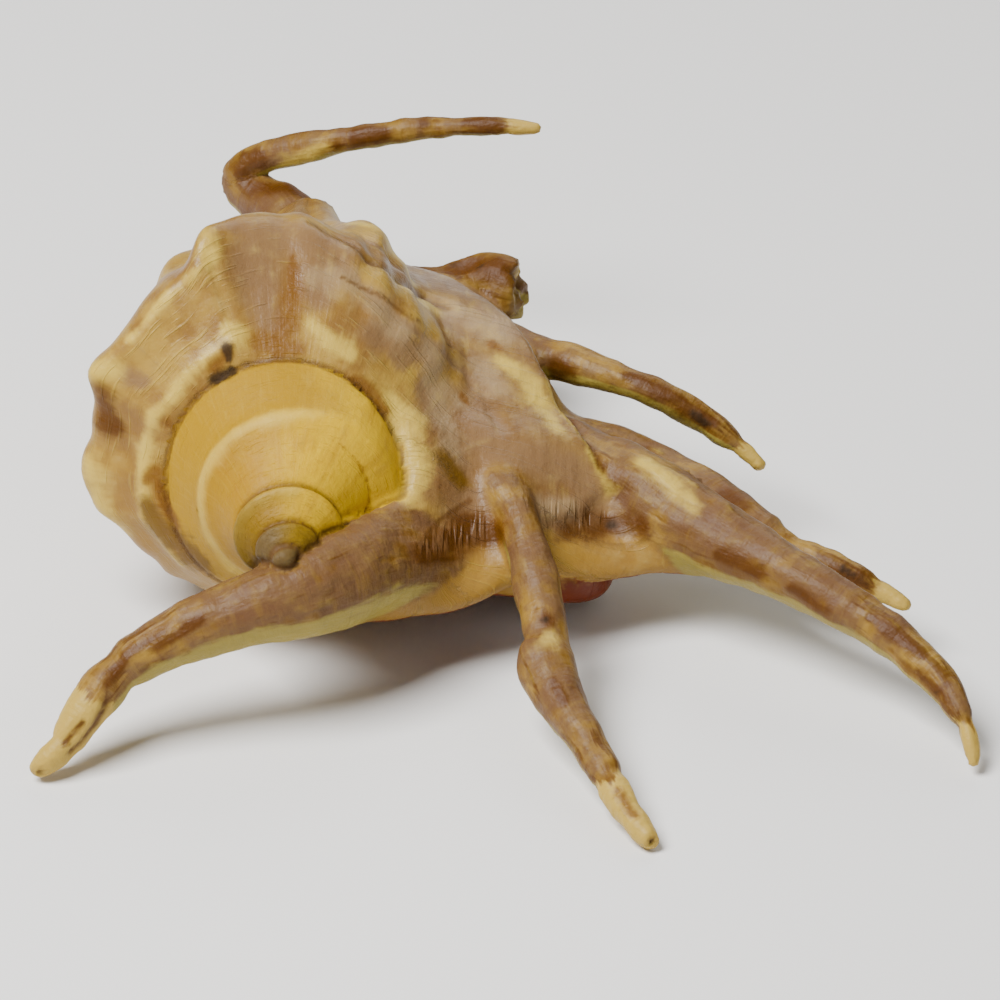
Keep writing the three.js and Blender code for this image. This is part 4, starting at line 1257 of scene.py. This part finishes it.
def marked(mark, noise):
    """A mark whose edge is roughened by noise; there is nothing away from the mark."""
    return mark + noise * mark.rise(0, 0.25)


def body_colour(cloud, patch, growth_lines, hairs, lip, fibres, upward):
    """Tan and sand in soft clouds, mauve on the lip, ochre low down, with growth lines and hair lines; the
    pale hair lines along the cords are partly their colour and partly a painted highlight.
    """
    clouded = (1.1 - cloud - patch * 0.3 + lip * 0.25).rise(0.35, 0.7)
    return layered(TAN, [
        (SAND, (cloud + (patch - 0.5) * 0.7).rise(0.3, 0.7)),
        (MAUVE, clouded * 0.3),
        (PLUM, clouded * lip * 0.45),
        (BROWN, fibres.rise(0.5, 0.75) * lip * 0.35),
        (CREAM, (1 - fibres).rise(0.55, 0.75) * lip * 0.2),
        (OCHRE, (patch * 0.6 - upward).rise(0, 0.7) * (0.8 - lip * 0.8)),
        (BROWN, growth_lines.rise(0.5, 0.8) * 0.1),
        # pale hair lines along the cords: partly their colour, partly painted highlight
        (CREAM, hairs * (0.22 - lip * 0.22)),
    ])


def spire_colour(growth, cloud, patch, rays, fine_rays, keel):
    """Golden, duller outside the keel, with faint rays. Painted light makes it lighter on the side of the
    lip and darker on the other, and a painted highlight runs along the keel.
    """
    sideways, _, ramp = growth.parts()
    # painted light and shade: a shaded amber away from the lip, a lit gold on the side of the lip
    warm = layered(SHADED_AMBER, [
        (LIT_GOLD, (sideways + (cloud - 0.5) * 0.8).rise(-0.7, 0.6)),
        (AMBER_DEEP, (rays * 0.6 + cloud * 0.7 + patch * 0.5).rise(0.85, 1.2) * 0.5),
    ])
    dull = over(STRAW, warm, (sideways + (cloud - 0.5)).rise(0, 0.8))
    return layered(warm, [
        (dull, (ramp + (rays - 0.5) * 0.3).rise(0.95, 1.25)),
        (CREAM, fine_rays.rise(0.5, 0.8) * 0.15),
        (BROWN, fine_rays.rise(0.6, 0.75) * rays.rise(0.45, 0.7) * 0.15),
        # painted highlight along the keel
        (CREAM, (keel + (patch - 0.5)).rise(0.2, 1.1) * 0.55),
    ])


def finger_colour(cloud, patch, streaks, rings, cream_side, near_end):
    """Tan with plum clouds, brown streaks near the tip and rings near the root, pale below."""
    clouded = cloud + (patch - 0.5) * 0.9 + (streaks - 0.5) * 0.5 - near_end * 0.25 + 0.07
    side = (cream_side + (streaks - 0.5) * 1.2 + (patch - 0.5) * 0.5).rise(0.35, 0.8)
    return layered(FINGER, [
        (SAND, (patch + streaks - cloud * 0.4).rise(0.5, 0.95) * 0.8),
        (PLUM, clouded.rise(0.3, 0.58) * 0.85),
        (BROWN, (streaks + near_end * 0.12 - 0.06).rise(0.53, 0.66) * 0.85),
        (BROWN, (rings + patch * 0.4 - near_end * 0.2).rise(0.72, 0.95) * 0.35),
        (SAND, rings.rise(0.52, 0.75) * 0.2),
        (BONE, side * 0.8),
    ])


def paint_shell():
    """The material of the whole shell."""
    material = bpy.data.materials.new("orange_spider_conch_shell")
    material.use_nodes = True
    Value.tree = material.node_tree
    place = Value.node("ShaderNodeTexCoord", {}, output=3).times([1 / MM] * 3)
    growth = attribute("growth")
    finger_place = attribute("finger_place")
    spire, finger, orange = attribute("zones").parts()
    cream, white, cream_side = attribute("pale").parts()
    mauve, grey, olive_shade = attribute("middling").parts()
    brown, stain, seam = attribute("dark").parts()
    early, wrinkled, near_end = attribute("other").parts()
    keel, lip, rust = attribute("more").parts()

    cloud = place.noise([0.14] * 3)
    patch = place.noise([0.45] * 3, 3)
    speckle = place.noise([1.4] * 3, 4, 0.6)
    growth_lines = growth.noise((40, 40, 1), 3)
    hairs = growth.noise((4, 4, 30)).rise(0.56, 0.72)
    rays = growth.noise((7, 7, 0.7))
    fine_rays = growth.noise((32, 32, 1.5), 3)
    fibres = place.noise((0.9, 0.16, 0.16), 3)
    streaks = finger_place.noise((0.14, 0.9, 0.9), 3)
    rings = finger_place.noise((1.3, 0.25, 0.25), 3)
    wrinkles = place.noise((1.9, 0.3, 0.2), 1).rise(0.42, 0.58) * wrinkled
    bare = 1 - finger
    grain = ((growth_lines - 0.5) * 0.5 + (rays - 0.5) * 0.8) * bare + (streaks - 0.5) * finger
    blur = (patch - 0.5) * 1.1 + (speckle - 0.5) * 0.3 + grain
    ragged = (patch - 0.5) * 0.5 + (speckle - 0.5) * 0.6

    body = body_colour(cloud, patch, growth_lines, hairs, lip, fibres, growth.parts()[1])
    golden = spire_colour(growth, cloud, patch, rays, fine_rays, keel)
    clothed = finger_colour(cloud, patch, streaks, rings, cream_side, near_end)
    colour = layered(body, [
        (MAUVE, (mauve + blur).rise(0, 0.9) * 0.9),
        (GREY, (grey + blur).rise(0.05, 1.1) * 0.8),
        (golden, (spire + ragged * 0.3).rise(0.4, 0.6)),
        (EARLY, early.rise(0, 0.5) * 0.85),
        (APEX, early.rise(0.6, 1) * 0.8),
        (clothed, (finger + ragged * 0.6).rise(0.15, 0.85)),
        (WHITE, (white + (streaks - 0.5) * 1.6 + ragged * 0.4).rise(0.4, 0.62)),
        # cream marks, among them painted highlights on the ridge and knobs on the left of the hump
        (CREAM, (cream + blur).rise(0.05, 1.1) * 0.7),
        # olive painted shade, low on the left and in the saddle's hollow
        (OLIVE_SHADE, marked(olive_shade, blur).rise(0.05, 0.85) * 0.9),
        (RUST, marked(rust, blur).rise(0.05, 0.95) * 0.85),
        (BROWN, marked(brown, blur).rise(0.05, 0.9) * 0.92),
        (ORANGE, marked(orange, ragged).rise(0.3, 0.8)),
        # sutures and grooves darkened: partly their brown, partly painted shade in the creases
        (SEAM_BROWN_AND_SHADE, marked(seam, ragged * 0.5).rise(0.2, 0.95) * 0.65),
        (STAIN, marked(stain, ragged).rise(0.2, 0.9) * 0.9),
        (STAIN, (wrinkled - wrinkles) * 0.3),
        (MAUVE, wrinkles * 0.35),
    ])

    cords = (growth_lines * 0.25 + hairs * 0.35) * bare * (1 - spire * 0.5)
    rough = (streaks * 0.9 + rings * 0.7 + patch * 0.6) * finger + wrinkles * 0.6 + fibres * lip * 0.8
    height = cords + rough + patch * 0.7 + speckle * 0.45
    dull = 0.38 + (cloud - 0.5) * 0.2 + stain * 0.3 + spire * 0.15 + finger * 0.08 + (speckle - 0.5) * 0.15
    coated = (bare - stain - spire - mauve * 0.5 - brown) * 0.07
    linked = {
        "Base Color": colour,
        "Roughness": dull,
        "Coat Weight": Value.maths("MAXIMUM", coated, 0),
        "Normal": Value.node("ShaderNodeBump", {"Strength": 1, "Distance": BUMP_HEIGHT, "Height": height}),
    }
    shader = material.node_tree.nodes["Principled BSDF"]
    for name, value in linked.items():
        material.node_tree.links.new(value.socket, shader.inputs[name])
    for name, value in GLAZE.items():
        shader.inputs[name].default_value = value
    return material


def build_shell():
    shell = Shell()
    points, faces = grid_skin(shell)
    points, outward = settle(shell, points, faces)
    places = Places(shell, points)
    values = skin_values(shell, points, outward, places)
    points = points + relief(shell, points, places)[:, None] * outward
    points, shift = into_frame(points)
    piece = make_mesh("orange_spider_conch", points * MM, faces, values)
    piece.data.materials.append(paint_shell())
    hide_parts("shell")
    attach(piece, "root")
    return shift


def build_studio(shift):
    """Floor, camera, lights and a pale surrounding."""
    corners = FLOOR * np.array([[-1, -1, 0], [1, -1, 0], [1, 1, 0], [-1, 1, 0]])
    floor = make_mesh("floor", corners, np.array([[0, 1, 2, 3]]), {})
    paint = bpy.data.materials.new("floor_pale")
    paint.use_nodes = True
    shader = paint.node_tree.nodes["Principled BSDF"]
    shader.inputs["Base Color"].default_value = FLOOR_PAINT
    shader.inputs["Roughness"].default_value = FLOOR_ROUGHNESS
    floor.data.materials.append(paint)

    camera = add_object("camera", bpy.data.cameras.new("camera"))
    camera.data.lens = LENS
    camera.data.sensor_width = SENSOR
    camera.location = (np.array(CAMERA_PLACE) + shift) * MM
    camera.rotation_euler = (math.pi / 2 - CAMERA_TILT, 0, 0)
    bpy.context.scene.camera = camera

    for name, (place, size, power) in LIGHTS.items():
        light = bpy.data.lights.new(name, "AREA")
        light.energy = power
        light.size = size
        lamp = add_object(name, light)
        lamp.location = place
        lamp.rotation_euler = (-Vector(place)).to_track_quat("-Z", "Y").to_euler()
    world = bpy.data.worlds.new("studio")
    world.use_nodes = True
    background = world.node_tree.nodes["Background"]
    background.inputs["Color"].default_value = SURROUND
    background.inputs["Strength"].default_value = SURROUND_POWER
    bpy.context.scene.world = world


build_studio(build_shell())
